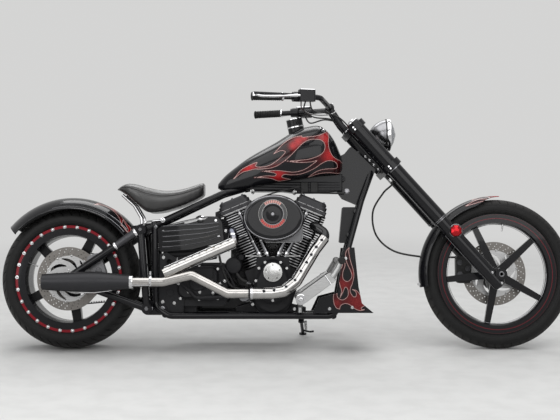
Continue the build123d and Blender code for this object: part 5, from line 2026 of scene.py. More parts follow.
@dataclass
class Exhaust:
    """Polished shields with round openings, clamps and the open muffler."""

    front_line: tuple[Point, ...] = (
        (128, -128, 570), (186, -150, 530), (131, -180, 460), (42, -224, 314), (-12, -236, 272),
        (-66, -236, 263), (-268, -236, 263),
    )
    rear_line: tuple[Point, ...] = ((-236, -190, 494), (-560, -236, 352))
    opening: float = 7.8
    pitch: float = 3.0
    holes: tuple[Point, ...] = (
        (152, 500, 10), (131, 466, 10), (111, 430, 10), (91, 394, 12), (67, 354, 16), (40, 314, 22),
        (-2, 286, 28), (-57, 274, 30), (-104, 269, 24),
    )

    def path(self, corners: Sequence[Point], bend: float) -> list[Vector]:
        """Runs along corners that are rounded.

        Args:
            corners: The corners.
            bend: Radius of the rounding.

        Returns:
            Evenly spaced points.
        """
        raw = [Vector(corners[0])]
        for before, corner, after in zip(corners, corners[1:], corners[2:]):
            corner = Vector(corner)
            back = (Vector(before) - corner).normalized()
            ahead = (Vector(after) - corner).normalized()
            reach = bend / math.tan(back.angle(ahead) / 2)
            start, end = corner + back * reach, corner + ahead * reach
            for t in np.linspace(0, 1, 16):
                raw.append((start * (1 - t) + corner * t) * (1 - t) + (corner * (1 - t) + end * t) * t)
        raw.append(Vector(corners[-1]))
        lengths = np.cumsum([0.0] + [(b - a).length for a, b in zip(raw, raw[1:])])
        table = np.array([tuple(point) for point in raw])
        spots = np.arange(0.0, lengths[-1], self.pitch)
        return [
            Vector([float(np.interp(spot, lengths, table[:, axis])) for axis in range(3)]) for spot in spots
        ]

    def on_shield(self, line: Sequence[Vector], place: float, turn: float, radius: float) -> Vector:
        """Gives a point on the shield.

        Args:
            line: The pipe's line, its points one pitch apart.
            place: Distance along it.
            turn: Turn from the outer side in radians.
            radius: Distance from the line.

        Returns:
            The point.
        """
        index = min(max(int(place / self.pitch), 0), len(line) - 2)
        ahead = (line[min(index + 2, len(line) - 1)] - line[max(index - 1, 0)]).normalized()
        out = (Vector((0.0, -1.0, 0.0)) + ahead * ahead.y).normalized()
        up = ahead.cross(out)
        up = -up if up.z < 0 else up
        spot = line[index].lerp(line[index + 1], place / self.pitch - index)
        return spot + (out * math.cos(turn) + up * math.sin(turn)) * radius

    def shield(
        self, name: str, line: Sequence[Vector], radius: float, half_arc: float,
        openings: Sequence[tuple[float, float]],
    ) -> None:
        """Builds one curved shield with round openings and a hem.

        Args:
            name: Its name.
            line: The pipe's line.
            radius: Its distance from that line.
            half_arc: Half its wrap in degrees.
            openings: Distance along and angle of each opening, in millimetres and degrees.
        """
        across = np.radians(np.linspace(-half_arc, half_arc, 73))
        places, turns = np.meshgrid(np.arange(len(line)) * self.pitch, across, indexing="ij")
        for place, turn in openings:
            ahead, over = places - place, (turns - math.radians(turn)) * radius
            gap = np.hypot(ahead, over)
            snap = np.where(np.abs(gap - self.opening) < 1.8, self.opening / np.maximum(gap, 0.1), 1.0)
            places, turns = place + ahead * snap, math.radians(turn) + over * snap / radius
        form = Form().grid(
            [[self.on_shield(line, *spot, radius) for spot in zip(*pair)] for pair in zip(places, turns)]
        )
        circuit = [
            (self.opening * math.cos(a), self.opening * math.sin(a)) for a in np.linspace(0, 2 * math.pi, 25)
        ]
        loops = [
            [(place + a, turn + math.degrees(b / radius)) for a, b in circuit] for place, turn in openings
        ]
        form.cut(
            [[self.on_shield(line, a, math.radians(b), radius) for a, b in loop] for loop in loops],
            self.opening,
        )
        form.make(name, SHIELD, sharp=70.0)
        edge = Form()
        for turn in (-half_arc, half_arc):
            ahead = np.arange(0.0, (len(line) - 1) * self.pitch, 2 * self.pitch)
            edge.tube([self.on_shield(line, place, math.radians(turn), radius) for place in ahead], 1.3, 6)
        for loop in loops:
            edge.tube([self.on_shield(line, a, math.radians(b), radius + 0.2) for a, b in loop], 0.8, 6)
        edge.make(f"{name}_hem", CHROME)

    def build(self) -> None:
        """Builds shields, clamps and muffler."""
        front = self.path(self.front_line, 30.0)
        trimmed = front[29:-34]
        holes = []
        for x, z, turn in self.holes:
            gaps = [math.hypot(point.x - x, point.z - z) for point in trimmed]
            holes.append((int(np.argmin(gaps)) * self.pitch, float(turn)))
        self.shield("front_shield", trimmed, 25.6, 104.0, holes)
        rear = self.path(self.rear_line, 10.0)
        notches = [(place, 52.0) for place in np.arange(24.0, (len(rear) - 10) * self.pitch, 36.0)]
        self.shield("rear_shield", rear[2:-2], 24.6, 88.0, notches)
        clamps = Form()
        for spot, aim, radius in (
            (front[-38], (-1, 0, 0), 27.5),
            (Vector((-612, -236, 316.5)), (-1, 0, 0), 26.5),
            (Vector((-246, -170, 512)), (0.1, 0.5, 0.6), 26.0),
        ):
            clamps.ring(along(spot, aim), radius - 4.5, radius, 11.0)
        clamps.bolt(along((-618, -262, 322), (0, -1, 0.1)), 5.0)
        clamps.tube([(-618, -236, 345), (-618, -236, 362)], 5.0, 8)
        clamps.bolt(facing(-668, -122, 402), 7.0, Head.DOME)
        clamps.make("exhaust_clamps", CHROME)
        Form().plate(
            [(-16, -66), (16, -58), (16, 12), (8, 18), (-8, 18), (-16, 12)], facing(-668, -116, 402), 5, 1
        ).make("muffler_hanger", SATIN)
        body = Form()
        outline = [
            (28.0, -699.5), (30.5, -700.5), (31.5, -706), (34.5, -744), (40.5, -800), (45.5, -850),
            (46.8, -884), (45.6, -930), (42.4, -1000), (38.8, -1060), (35.6, -1102), (35.4, -1107),
            (34.6, -1108.8), (33.2, -1108.8), (32.4, -1107), (32.4, -1060), (12.0, -1056), (11.0, -1085),
            (9.5, -1085), (9.0, -1050), (0, -1050),
        ]
        place = along((0, -236, 314), (1, 0, 0))
        body.lathe([(0, -699.0), *outline], place, 72)
        body.make("muffler_shell", MUFFLER, replaces=("muffler",), sharp=40.0)
        trim = Form().lathe([(29, -697), (32.4, -697.5), (32.8, -703), (32.4, -712), (30, -712)], place, 48)
        trim.tube([(-938, -252, 268), (-870, -256, 266), (-790, -250, 276)], 2.6, 8)
        trim.tube([(-700, -262, 300), (-616, -262, 300)], 3.0, 8)
        trim.make("muffler_trim", CHROME)


@dataclass
class OilTank:
    """Filler cap, bolts and seat post rod of the ribbed oil tank."""

    def build(self) -> None:
        """Builds the painted highlight lines and plate on the tank's sides, the cap on its boss, the cover's
        bolts and the rod beside it.
        """
        highlight_crests, highlight_plate = Form(), Form()
        # Painted highlights: smoked-chrome lines on the rib tops and along the top edge, where overhead light
        # falls on the black tank.
        for side in Side:
            for rib in range(5):
                lift = rib * 24.0
                line = curve(
                    [
                        (-576, 473 + lift), (-515, 477 + lift), (-450, 485 + lift * 0.96),
                        (-380, 498 + lift * 0.84), (-316, 520 + lift * 0.7),
                    ],
                    8,
                )
                highlight_crests.tube(
                    [(spot.x, side.value * 108.4, spot.y) for spot in line],
                    [1.2, *[2.6] * (len(line) - 2), 1.2], 10,
                )
            edge = curve([(-578, 566), (-510, 585), (-430, 603), (-372, 612), (-328, 612)], 8)
            highlight_crests.tube([(spot.x, side.value * 101.0, spot.y) for spot in edge], 2.4, 10)
            # Painted highlight: a bright brushed plate shaped like the reflection on the tank's upper side.
            highlight_patch = mirrored(((-52, -16), (50, 8), (50, 13), (20, 12), (-52, -6)), side)
            highlight_plate.plate(highlight_patch, facing(-424, side.value * 99.8, 594, side), 2.6, 1.0)
        highlight_crests.make("oil_tank_highlight_crests", DARK_CHROME)
        highlight_plate.make("oil_tank_painted_highlight", SHEEN)
        Form().lathe(
            [(0, 0), (24, 0), (24, 9), (21, 12), (0, 12)], along((-402, -82, 597), (0.1, -0.75, 1.0)), 32
        ).make("oil_cap_base", PLASTIC)
        cap = Form().lathe(
            [(0, 10), (17, 10), (18, 13), (16, 17), (9, 20), (0, 21)],
            along((-402, -82, 597), (0.1, -0.75, 1.0)), 32,
        )
        cap.bolts(flush(((-574, 470), (-574, 545), (-316, 520), (-330, 596)), -99.5), 4.4, Head.SOCKET)
        cap.make("oil_cap", CHROME)
        Form().bent(
            [(-664, -104, 560), (-660, -112, 584), (-630, -114, 592), (-580, -112, 597)], 4.0, 10
        ).make("seat_post_rod", CHROME)
        bolts = Form().bolt(facing(-576, -110, 597), 8.0, Head.DOME)
        bolts.bolt(facing(-672, -118, 552), 8.5, Head.DOME)
        bolts.make("seat_post_bolts", CHROME)


@dataclass
class Fenders:
    """Close steel fenders with rolled edges and licks of flame at their ends."""

    rear_lick: tuple[tuple[Flat, ...], ...] = (
        (
            (-893, 670), (-893, 670), (-857, 667), (-825, 653), (-797, 631), (-777, 603), (-769, 580),
            (-744, 544), (-744, 544), (-736, 552), (-757, 591), (-777, 627), (-809, 658), (-853, 678),
        ),
        ((-768, 574), (-768, 574), (-761, 600), (-745, 580), (-724, 556), (-736, 538), (-736, 538)),
    )
    front_lick: tuple[tuple[Flat, ...], ...] = (
        (
            (1006, 712), (1006, 712), (989, 689), (959, 689), (915, 686), (882, 676), (845, 666),
            (845, 666), (875, 684), (905, 696), (932, 697), (959, 699), (943, 709), (909, 706), (875, 694),
            (875, 694), (906, 714), (943, 721), (973, 722), (990, 724),
        ),
    )

    def skin(
        self, centre: Point, crown: float, edge: float, half: float, sheet: float, turns: Flat,
        tip: float = 0.0,
    ) -> Form:
        """Builds a curved sheet over a tyre.

        Args:
            centre: The axle.
            crown: Radius at the middle.
            edge: Radius at the sides.
            half: Half the width.
            sheet: Thickness.
            turns: First and last angle in degrees.
            tip: Angle over which the first end narrows to a point.

        Returns:
            The form.
        """
        drop = crown - edge
        arc = (half * half + drop * drop) / (2 * drop)
        rings = []
        for step in range(121):
            turn = turns[0] + (turns[1] - turns[0]) * step / 120
            a = math.radians(turn)
            near = min(
                1.0, 0.12 + 0.88 * math.sin(math.pi / 2 * min(1.0, (turn - turns[0]) / tip))
            ) if tip else 1.0
            ring = []
            for inner, order in ((0.0, range(41)), (sheet, range(40, -1, -1))):
                for index in order:
                    y = (-half + 2 * half * index / 40) * near
                    y *= 1.0 - (sheet / half if inner else 0.0)
                    r = crown - arc + math.sqrt(arc * arc - y * y) - inner
                    ring.append(Vector((centre[0] + r * math.cos(a), y, centre[2] + r * math.sin(a))))
            rings.append(ring)
        return Form().loft(rings)

    def hem(self, centre: Point, radius: float, half: float, turns: Flat) -> list[list[Vector]]:
        """Gives the lines of the rolled edges."""
        spots = [math.radians(turns[0] + (turns[1] - turns[0]) * step / 60) for step in range(61)]
        return [
            [
                Vector((centre[0] + radius * math.cos(a), side * half, centre[2] + radius * math.sin(a)))
                for a in spots
            ]
            for side in (-1, 1)
        ]

    def build(self) -> None:
        """Builds both fenders, their hems and their stays' bolts."""
        rear = self.skin(REAR_AXLE, 378.0, 322.0, 132.0, 4.0, (38.0, 140.0))
        made = rear.make("rear_fender_skin", FLAMES, replaces=("rear_fender",), sharp=40.0)
        paint_flames(made, self.rear_lick, ((-752, 566, 34), (-800, 650, 16)), -100.0)
        self.bracket().make("rear_fender_brackets", BLACK)
        front = self.skin(FRONT_AXLE, 366.0, 330.0, 56.0, 3.0, (87.0, 190.0), 22.0)
        made = front.make("front_fender_skin", FLAMES, Body.STEERING, ("front_fender",), sharp=40.0)
        paint_flames(made, self.front_lick, ((992, 706, 30),), -45.0)
        hems, highlight_beads = Form(), Form()
        # Painted highlights: smoked-chrome beads on the black skin along the two ridges where overhead light
        # falls.
        for r, half, turns in ((333.6, 120.0, (40.0, 104.0)), (348.8, 100.0, (40.0, 98.0))):
            for line in self.hem(REAR_AXLE, r, half, turns):
                highlight_beads.tube(line, [0.8, *[2.4] * (len(line) - 2), 0.8], 10)
        highlight_beads.make("rear_fender_highlight_beads", DARK_CHROME)
        for line in self.hem(REAR_AXLE, 323.5, 131.0, (38.0, 140.0)):
            hems.tube(line, 3.2, 8)
        arc, turn = 183.57, math.radians(140)
        tail = []
        for y in np.linspace(-131, 131, 31):
            r = 378.0 - arc + math.sqrt(arc**2 - y * y) - 2.0
            tail.append(Vector((REAR_AXLE[0] + r * math.cos(turn), y, REAR_AXLE[2] + r * math.sin(turn))))
        hems.tube(tail, 3.2, 8)
        hems.make("rear_fender_hems", BLACK)
        hems = Form()
        for line in self.hem(FRONT_AXLE, 331.5, 55.4, (109.0, 190.0)):
            hems.tube(line, 2.4, 8)
        hems.make("front_fender_hems", BLACK, Body.STEERING)
        stays = Form()
        bolts = Form()
        for side in Side:
            point = fork(300.0, 0.0, -36.0)
            place = facing(point.x, side.value * 53.0, point.z, side)
            flat = [(-side.value * a, b) for a, b in ((-30, -34), (34, -6), (16, 44), (-44, 26))]
            stays.pierced(flat, [], place, 4.0)
            stays.lathe(
                [(12, 0), (12, 34.5), (0, 34.5), (0, 0)][::-1],
                facing(point.x, side.value * 53.4, point.z, side), 28,
            )
            spots = ((point.x - 20, point.z + 22), (point.x + 18, point.z + 2))
            bolts.bolts(flush(spots, side.value * 57.0, side), 4.5)
        stays.make("front_fender_stays", BLACK, Body.STEERING)
        bolts.make("front_fender_bolts", BOLT_STEEL, Body.STEERING)
        Form().disc(facing(617, -57.5, 300), 7.0, 2.0, 0.8, 24).make(
            "front_fender_stud", CHROME, Body.STEERING
        )

    def bracket(self) -> Form:
        """Builds the two plates that hold the rear fender on the swingarm's cross tube."""
        form = Form()
        for side in Side:
            outer = [(26 * math.cos(a), 26 * math.sin(a)) for a in np.linspace(-1.75, 1.42, 14)]
            tip = [(-58 + 9 * math.cos(a), 10 + 9 * math.sin(a)) for a in np.linspace(1.5, 4.6, 8)]
            outline = [(-side.value * a, b) for a, b in (*outer, *tip)]
            form.pierced(outline, [circle(0, 0, 18.3, 32)], facing(-672, side.value * 49.0, 552, side), 6.0)
        return form


@dataclass
class ChinSpoiler:
    """Flame panels on both sides of the chin spoiler, with its bolts."""

    left_edge: tuple[Flat, ...] = ((117, 171), (150, 240), (235, 262), (262, 470))
    right_edge: tuple[Flat, ...] = ((398, 171), (345, 215), (330, 290), (312, 470))
    flames: tuple[tuple[Flat, ...], ...] = (
        (
            (287, 468), (287, 468), (285, 455), (287, 437), (292, 411), (300, 385), (306, 364), (308, 343),
            (305, 322), (300, 303), (293, 286), (290, 271), (296, 256), (305, 245), (315, 244), (320, 253),
            (318, 265), (311, 274), (303, 277), (303, 277), (318, 273), (331, 261), (340, 247), (350, 237),
            (361, 231), (369, 210), (369, 210), (352, 202), (341, 194), (344, 186), (354, 186), (354, 186),
            (338, 183), (321, 187), (305, 197), (291, 208), (272, 215), (255, 211), (245, 202), (242, 190),
            (242, 190), (228, 195), (219, 210), (215, 229), (215, 247), (220, 266), (226, 275), (227, 292),
            (223, 306), (219, 314), (219, 314), (229, 315), (234, 299), (232, 280), (230, 261), (232, 244),
            (243, 233), (257, 230), (270, 236), (280, 247), (283, 261), (281, 278), (275, 288), (267, 288),
            (262, 278), (257, 266), (246, 244), (246, 244), (252, 271), (246, 294), (241, 315), (240, 338),
            (245, 362), (255, 383), (258, 404), (252, 426), (252, 426), (265, 411), (267, 385), (259, 364),
            (256, 343), (259, 326), (269, 316), (280, 314), (290, 320), (298, 331), (300, 346), (294, 364),
            (285, 383), (276, 404), (272, 423), (272, 444), (278, 458),
        ),
    )

    def build(self) -> None:
        """Builds the panels and the bolts."""
        left, right = np.array(self.left_edge, float), np.array(self.right_edge, float)
        heights = np.linspace(171.0, 470.0, 151)
        panels = Form()
        for side in Side:
            rows = []
            for z in heights:
                start, end = float(np.interp(z, left[:, 1], left[:, 0])), float(
                    np.interp(z, right[:, 1], right[::1, 0])
                )
                rows.append([Vector((x, side.value * 150.6, z)) for x in np.linspace(start, end, 120)])
            panels.grid(rows)
        made = panels.make("spoiler_panels", SPOILER_FLAMES, sharp=60.0)
        paint_flames(
            made, self.flames, ((324, 219, 60), (262, 300, 34), (228, 215, 22), (302, 350, 16)), -150.0
        )
        bolts = Form()
        for side in Side:
            bolts.bolts(
                flush(((272, 420), (196, 190), (300, 196)), side.value * 150.8, side), 5.0, Head.SOCKET
            )
        bolts.make("spoiler_bolts", BOLT_STEEL)


@dataclass
class Fork:
    """Caps, pinch bolts, slider rings and the red facetted ornament of the long fork."""

    top: float = 979.0
    behind: float = -36.0

    def build(self) -> None:
        """Builds the fork's fine pieces."""
        caps, rings, ornament = Form(), Form(), Form()
        for side in Side:
            y = side.value * 120.0
            caps.lathe(
                [(0, -1), (26, -1), (26, 3), (23, 6), (17, 7), (16, 11), (0, 11)],
                along(fork(self.top, y, self.behind), FORK_UP), 6,
            )
            caps.lathe(
                [(29, -3), (31, 0), (30, 3), (26, 4)], along(fork(self.top, y, self.behind), FORK_UP), 40
            )
            for at in (365.0, 372.0):
                rings.lathe(
                    [(32, 0), (37.2, 0.4), (37.6, 2), (37.2, 3.6), (32, 4)],
                    along(fork(at, y, self.behind), FORK_UP), 56,
                )
            rings.lathe(
                [(36, 0), (37.4, 0.5), (37.6, 5), (36, 6)], along(fork(684.0, y, self.behind), FORK_UP), 56
            )
            for at in (700.0, 712.0, 944.0, 956.0):
                caps.bolt(
                    along(fork(at, side.value * 169.0, self.behind - 16), (0, side.value, 0)), 4.5,
                    Head.SOCKET, False,
                )
            ring = along(fork(-43.0, y, self.behind), -FORK_UP)
            rings.lathe([(0, -2), (12, -2), (12, 2), (0, 2)], ring, 6)
            for at in (-31.0, 33.0):
                caps.bolt(
                    along(fork(at, side.value * 149.0, self.behind + 10), (0, side.value, 0)), 4.5,
                    Head.SOCKET,
                )
        caps.lathe(
            [(0, 0), (22, 0), (22, 6), (20, 9), (14, 10), (0, 12)], along(fork(965.2, 0, -70), FORK_UP), 6
        )
        caps.make("fork_bolts", CHROME, Body.STEERING)
        rings.make("fork_rings", DARK_CHROME, Body.STEERING)
        gem = along(fork(285.6, -146.0, -20.0), (0, -1, 0))
        ornament.lathe([(0, 0), (26, 0), (29, 5), (24, 12), (13, 17), (0, 18)], gem, 8, 22.5)
        ornament.make("fork_ornament", RED_GEM, Body.STEERING, sharp=8.0)
        Form().lathe([(0, -10), (24, -10), (31, -1), (31.5, 3), (29.5, 4.5), (28, 3)], gem, 40).make(
            "fork_ornament_bezel", DARK_CHROME, Body.STEERING
        )
        # Painted highlights: thin smoked-chrome lines along the lower edge of each black leg, where a
        # highlight line falls.
        lines = Form()
        for side in Side:
            lines.tube([fork(at, side.value * 120, self.behind - 33) for at in (300, 60)], 1.8, 6)
        lines.make("fork_painted_highlight_lines", DARK_CHROME, Body.STEERING)


@dataclass
class Headlight:
    """Rim, dark gap ring, centre disc and mount screws of the round headlight."""

    centre: Point = (483.0, 0.0, 1005.0)

    def build(self) -> None:
        """Builds the headlight's rings and screws."""
        place = along(self.centre, (1, 0, 0))
        Form().lathe(
            [(66, -2), (74.4, -6), (76.2, -3), (76.4, 6), (74.5, 11), (70.5, 12.5), (67.5, 11), (67.5, 4)],
            place, 72,
        ).make("headlight_rim", CHROME, Body.STEERING)
        Form().lathe([(72.5, -13), (74.2, -13), (74.6, -10), (74.4, -6.5), (72.5, -6.5)], place, 72).make(
            "headlight_gap", PLASTIC, Body.STEERING
        )
        Form().lathe([(0, 34.2), (9, 34.2), (8.5, 35.0), (0, 35.4)], place, 28).make(
            "headlight_centre", CHROME, Body.STEERING
        )
        screws = Form().bolt(along((490, 0, 928.5), (0, 0, -1)), 3.4, Head.DOME, False)
        screws.bolt(along((387, 0, 1005), (-1, 0, 0)), 7.0)
        screws.make("headlight_screws", BOLT_STEEL, Body.STEERING)


@dataclass
class Handlebar:
    """Clamps, levers, reservoirs, switch pods, grip ribs and control cables."""

    cables: tuple[tuple[tuple[Point, ...], float], ...] = (
        (
            (
                (84, -330, 1126), (80, -250, 1090), (130, -130, 1075), (220, -50, 1070), (290, -24, 1010),
                (330, -18, 962),
            ),
            3.4,
        ),
        (((104, -330, 1128), (120, -220, 1098), (170, -120, 1100), (250, -60, 1080), (318, -52, 1010)), 3.4),
        (((96, 330, 1128), (120, 220, 1084), (190, 120, 1090), (270, 60, 1060), (322, 44, 1000)), 3.8),
    )
    throttle: tuple[Point, ...] = (
        (64, -338, 1122), (70, -270, 1098), (112, -170, 1086), (176, -100, 1088), (222, -66, 1102),
        (232, -54, 1116),
    )

    def build(self) -> None:
        """Builds the handlebar's fine pieces."""
        chrome, black, ribs, cables = Form(), Form(), Form(), Form()
        for side in Side:
            hand = side.value
            clamp = along((205, hand * 45 - 9, 1128), (0, 1, 0))
            black.lathe([(13, 0), (20, 0), (21, 1), (21, 17), (20, 18), (13, 18)], clamp, 32)
            for dx in (-14, 14):
                chrome.bolt(along((205 + dx, hand * 45, 1149), (0, 0, 1)), 3.6, Head.SOCKET, False)
            chrome.lathe(
                [(15.5, -2), (17, -1), (17, 5), (15.5, 6)], along(fork(966, hand * 45, -74), FORK_UP), 28
            )
            start, end = Vector((-24, hand * 346, 1146)), Vector((-152, hand * 383, 1143))
            axis = (end - start).normalized()
            for step in range(14):
                ribs.lathe(
                    [(16.8, 0), (18.4, 1.0), (18.4, 4.4), (16.8, 5.4)],
                    along(start + axis * (7 + 9.0 * step), axis), 28,
                )
            ribs.lathe([(0, 0), (19, 0), (20, 2), (19, 5), (0, 7)], along(start + axis * 134, axis), 28)
            chrome.lathe(
                [(13, -2), (19, -2), (19.6, 0), (19.6, 5), (19, 6), (13, 6)], along(start - axis * 5, axis),
                32,
            )
            lid = along((90, hand * 345, 1176.5), (0, 0, 1), (0.31 * hand, 0.95, 0))
            chrome.pierced(
                [(-33, -16), (33, -16), (33, 16), (-33, 16)], [circle(10.4, 0.25 * hand, 5.5)], lid, 3.0
            )
            for dx in (-27, 27):
                chrome.bolt(lid @ Matrix.Translation((dx, 0, 3)), 2.6, Head.SOCKET, False)
            black.lathe(
                [(13, 0), (22.6, 0), (23, 2), (23, 30), (22, 33), (13, 33)],
                along((64, hand * 318, 1148), (-0.95, hand * 0.31, 0)), 32,
            )
            lever = [
                (64, hand * 362, 1149), (20, hand * 384, 1146), (-40, hand * 408, 1141),
                (-110, hand * 424, 1140), (-144, hand * 428, 1147),
            ]
            chrome.tube(curve(lever, 8), [7.5 - 0.06 * i for i in range(33)], 10)
            chrome.lathe([(0, -8), (8, -8), (8, 8), (0, 8)], along((-146, hand * 428, 1147), (0, 0, 1)), 18)
            chrome.bolt(along((66, hand * 362, 1158), (0, 0, 1)), 5.0)
        for route, thick in self.cables:
            cables.bent(route, thick, steps=10)
        Form().bent(self.throttle, 3.0, steps=10).make("throttle_cable", SHEEN, Body.STEERING)
        chrome.make("handlebar_trim", CHROME, Body.STEERING)
        black.make("switch_pods", SATIN, Body.STEERING)
        ribs.make("grip_ribs", GRIP, Body.STEERING)
        cables.make("control_cables", HOSE, Body.STEERING)


@dataclass
class Controls:
    """Forward controls: pivot discs, brushed levers, pegs and rubber pads."""

    lever: tuple[Flat, ...] = (
        (0, 24), (60, 24), (165, 23), (178, 20), (178, -20), (165, -23), (60, -24), (0, -24), (-20, -14),
        (-20, 14),
    )

    def build(self) -> None:
        """Builds both sides' pieces."""
        rise = math.atan2(342 - 237, 209 - 62)
        sin, cos = math.sin(rise), math.cos(rise)
        metal, bright, rubber = Form(), Form(), Form()
        for side in Side:
            hand = side.value
            place = facing(62, hand * 305, 237, side)
            bright.lathe(
                [(0, 0), (22.5, 0), (24, 2), (24, 9), (21, 11.5), (12, 11.5), (10.5, 9), (0, 9)], place, 44
            )
            bright.bolt(facing(62, hand * 313.5, 237, side), 7.0, Head.SOCKET)
            outline = [(reach * cos - wide * sin, reach * sin + wide * cos) for reach, wide in self.lever]
            metal.plate(mirrored(outline[::-1], side), facing(62, hand * 304, 237, side), 8.5, 1.6)
            ends = [
                Vector((62 + 150.0 * cos - wide * sin, hand * 312.5, 237 + 150.0 * sin + wide * cos))
                for wide in (25, -25)
            ]
            bright.tube(ends, 3.4, 10)
            toe = [
                Vector((204, hand * 306, 338)), Vector((226, hand * 306, 372)),
                Vector((246, hand * 306, 414)),
            ]
            metal.tube(toe, [15.0, 12.5, 10.5], 14)
            for step in range(6):
                rubber.lathe(
                    [(14, 0), (16.2, 1.2), (16.2, 6.5), (14, 7.7)],
                    along((246, hand * (254 + 12.2 * step), 410), (0, hand, 0)), 24,
                )
            rubber.lathe(
                [(0, 0), (15, 0), (16, 2), (14, 5), (0, 6)], along((246, hand * 326, 410), (0, hand, 0)), 24
            )
        metal.make("control_levers", SHEEN)
        bright.make("control_pivots", CHROME)
        rubber.make("control_rubbers", GRIP)
        stand = Form()
        coil: list[Vector] = []
        start, end = Vector((80, 168, 116)), Vector((84, 262, 72))
        axis = (end - start).normalized()
        side_axis = axis.orthogonal().normalized()
        other = axis.cross(side_axis)
        for step in range(220):
            t = step / 219
            a = 2 * math.pi * 18 * t
            turn = (side_axis * math.cos(a) + other * math.sin(a)) * 5.5
            coil.append(start.lerp(end, t) + turn + Vector((12, 0, 2)))
        stand.tube(coil, 1.2, 5)
        stand.make("stand_spring", BOLT_STEEL, Body.STAND)
        tang = Form().tube([(80, 262, 70), (116, 276, 62), (134, 280, 64)], [5.0, 4.5, 5.0], 10)
        tang.make("stand_tang", SATIN, Body.STAND)


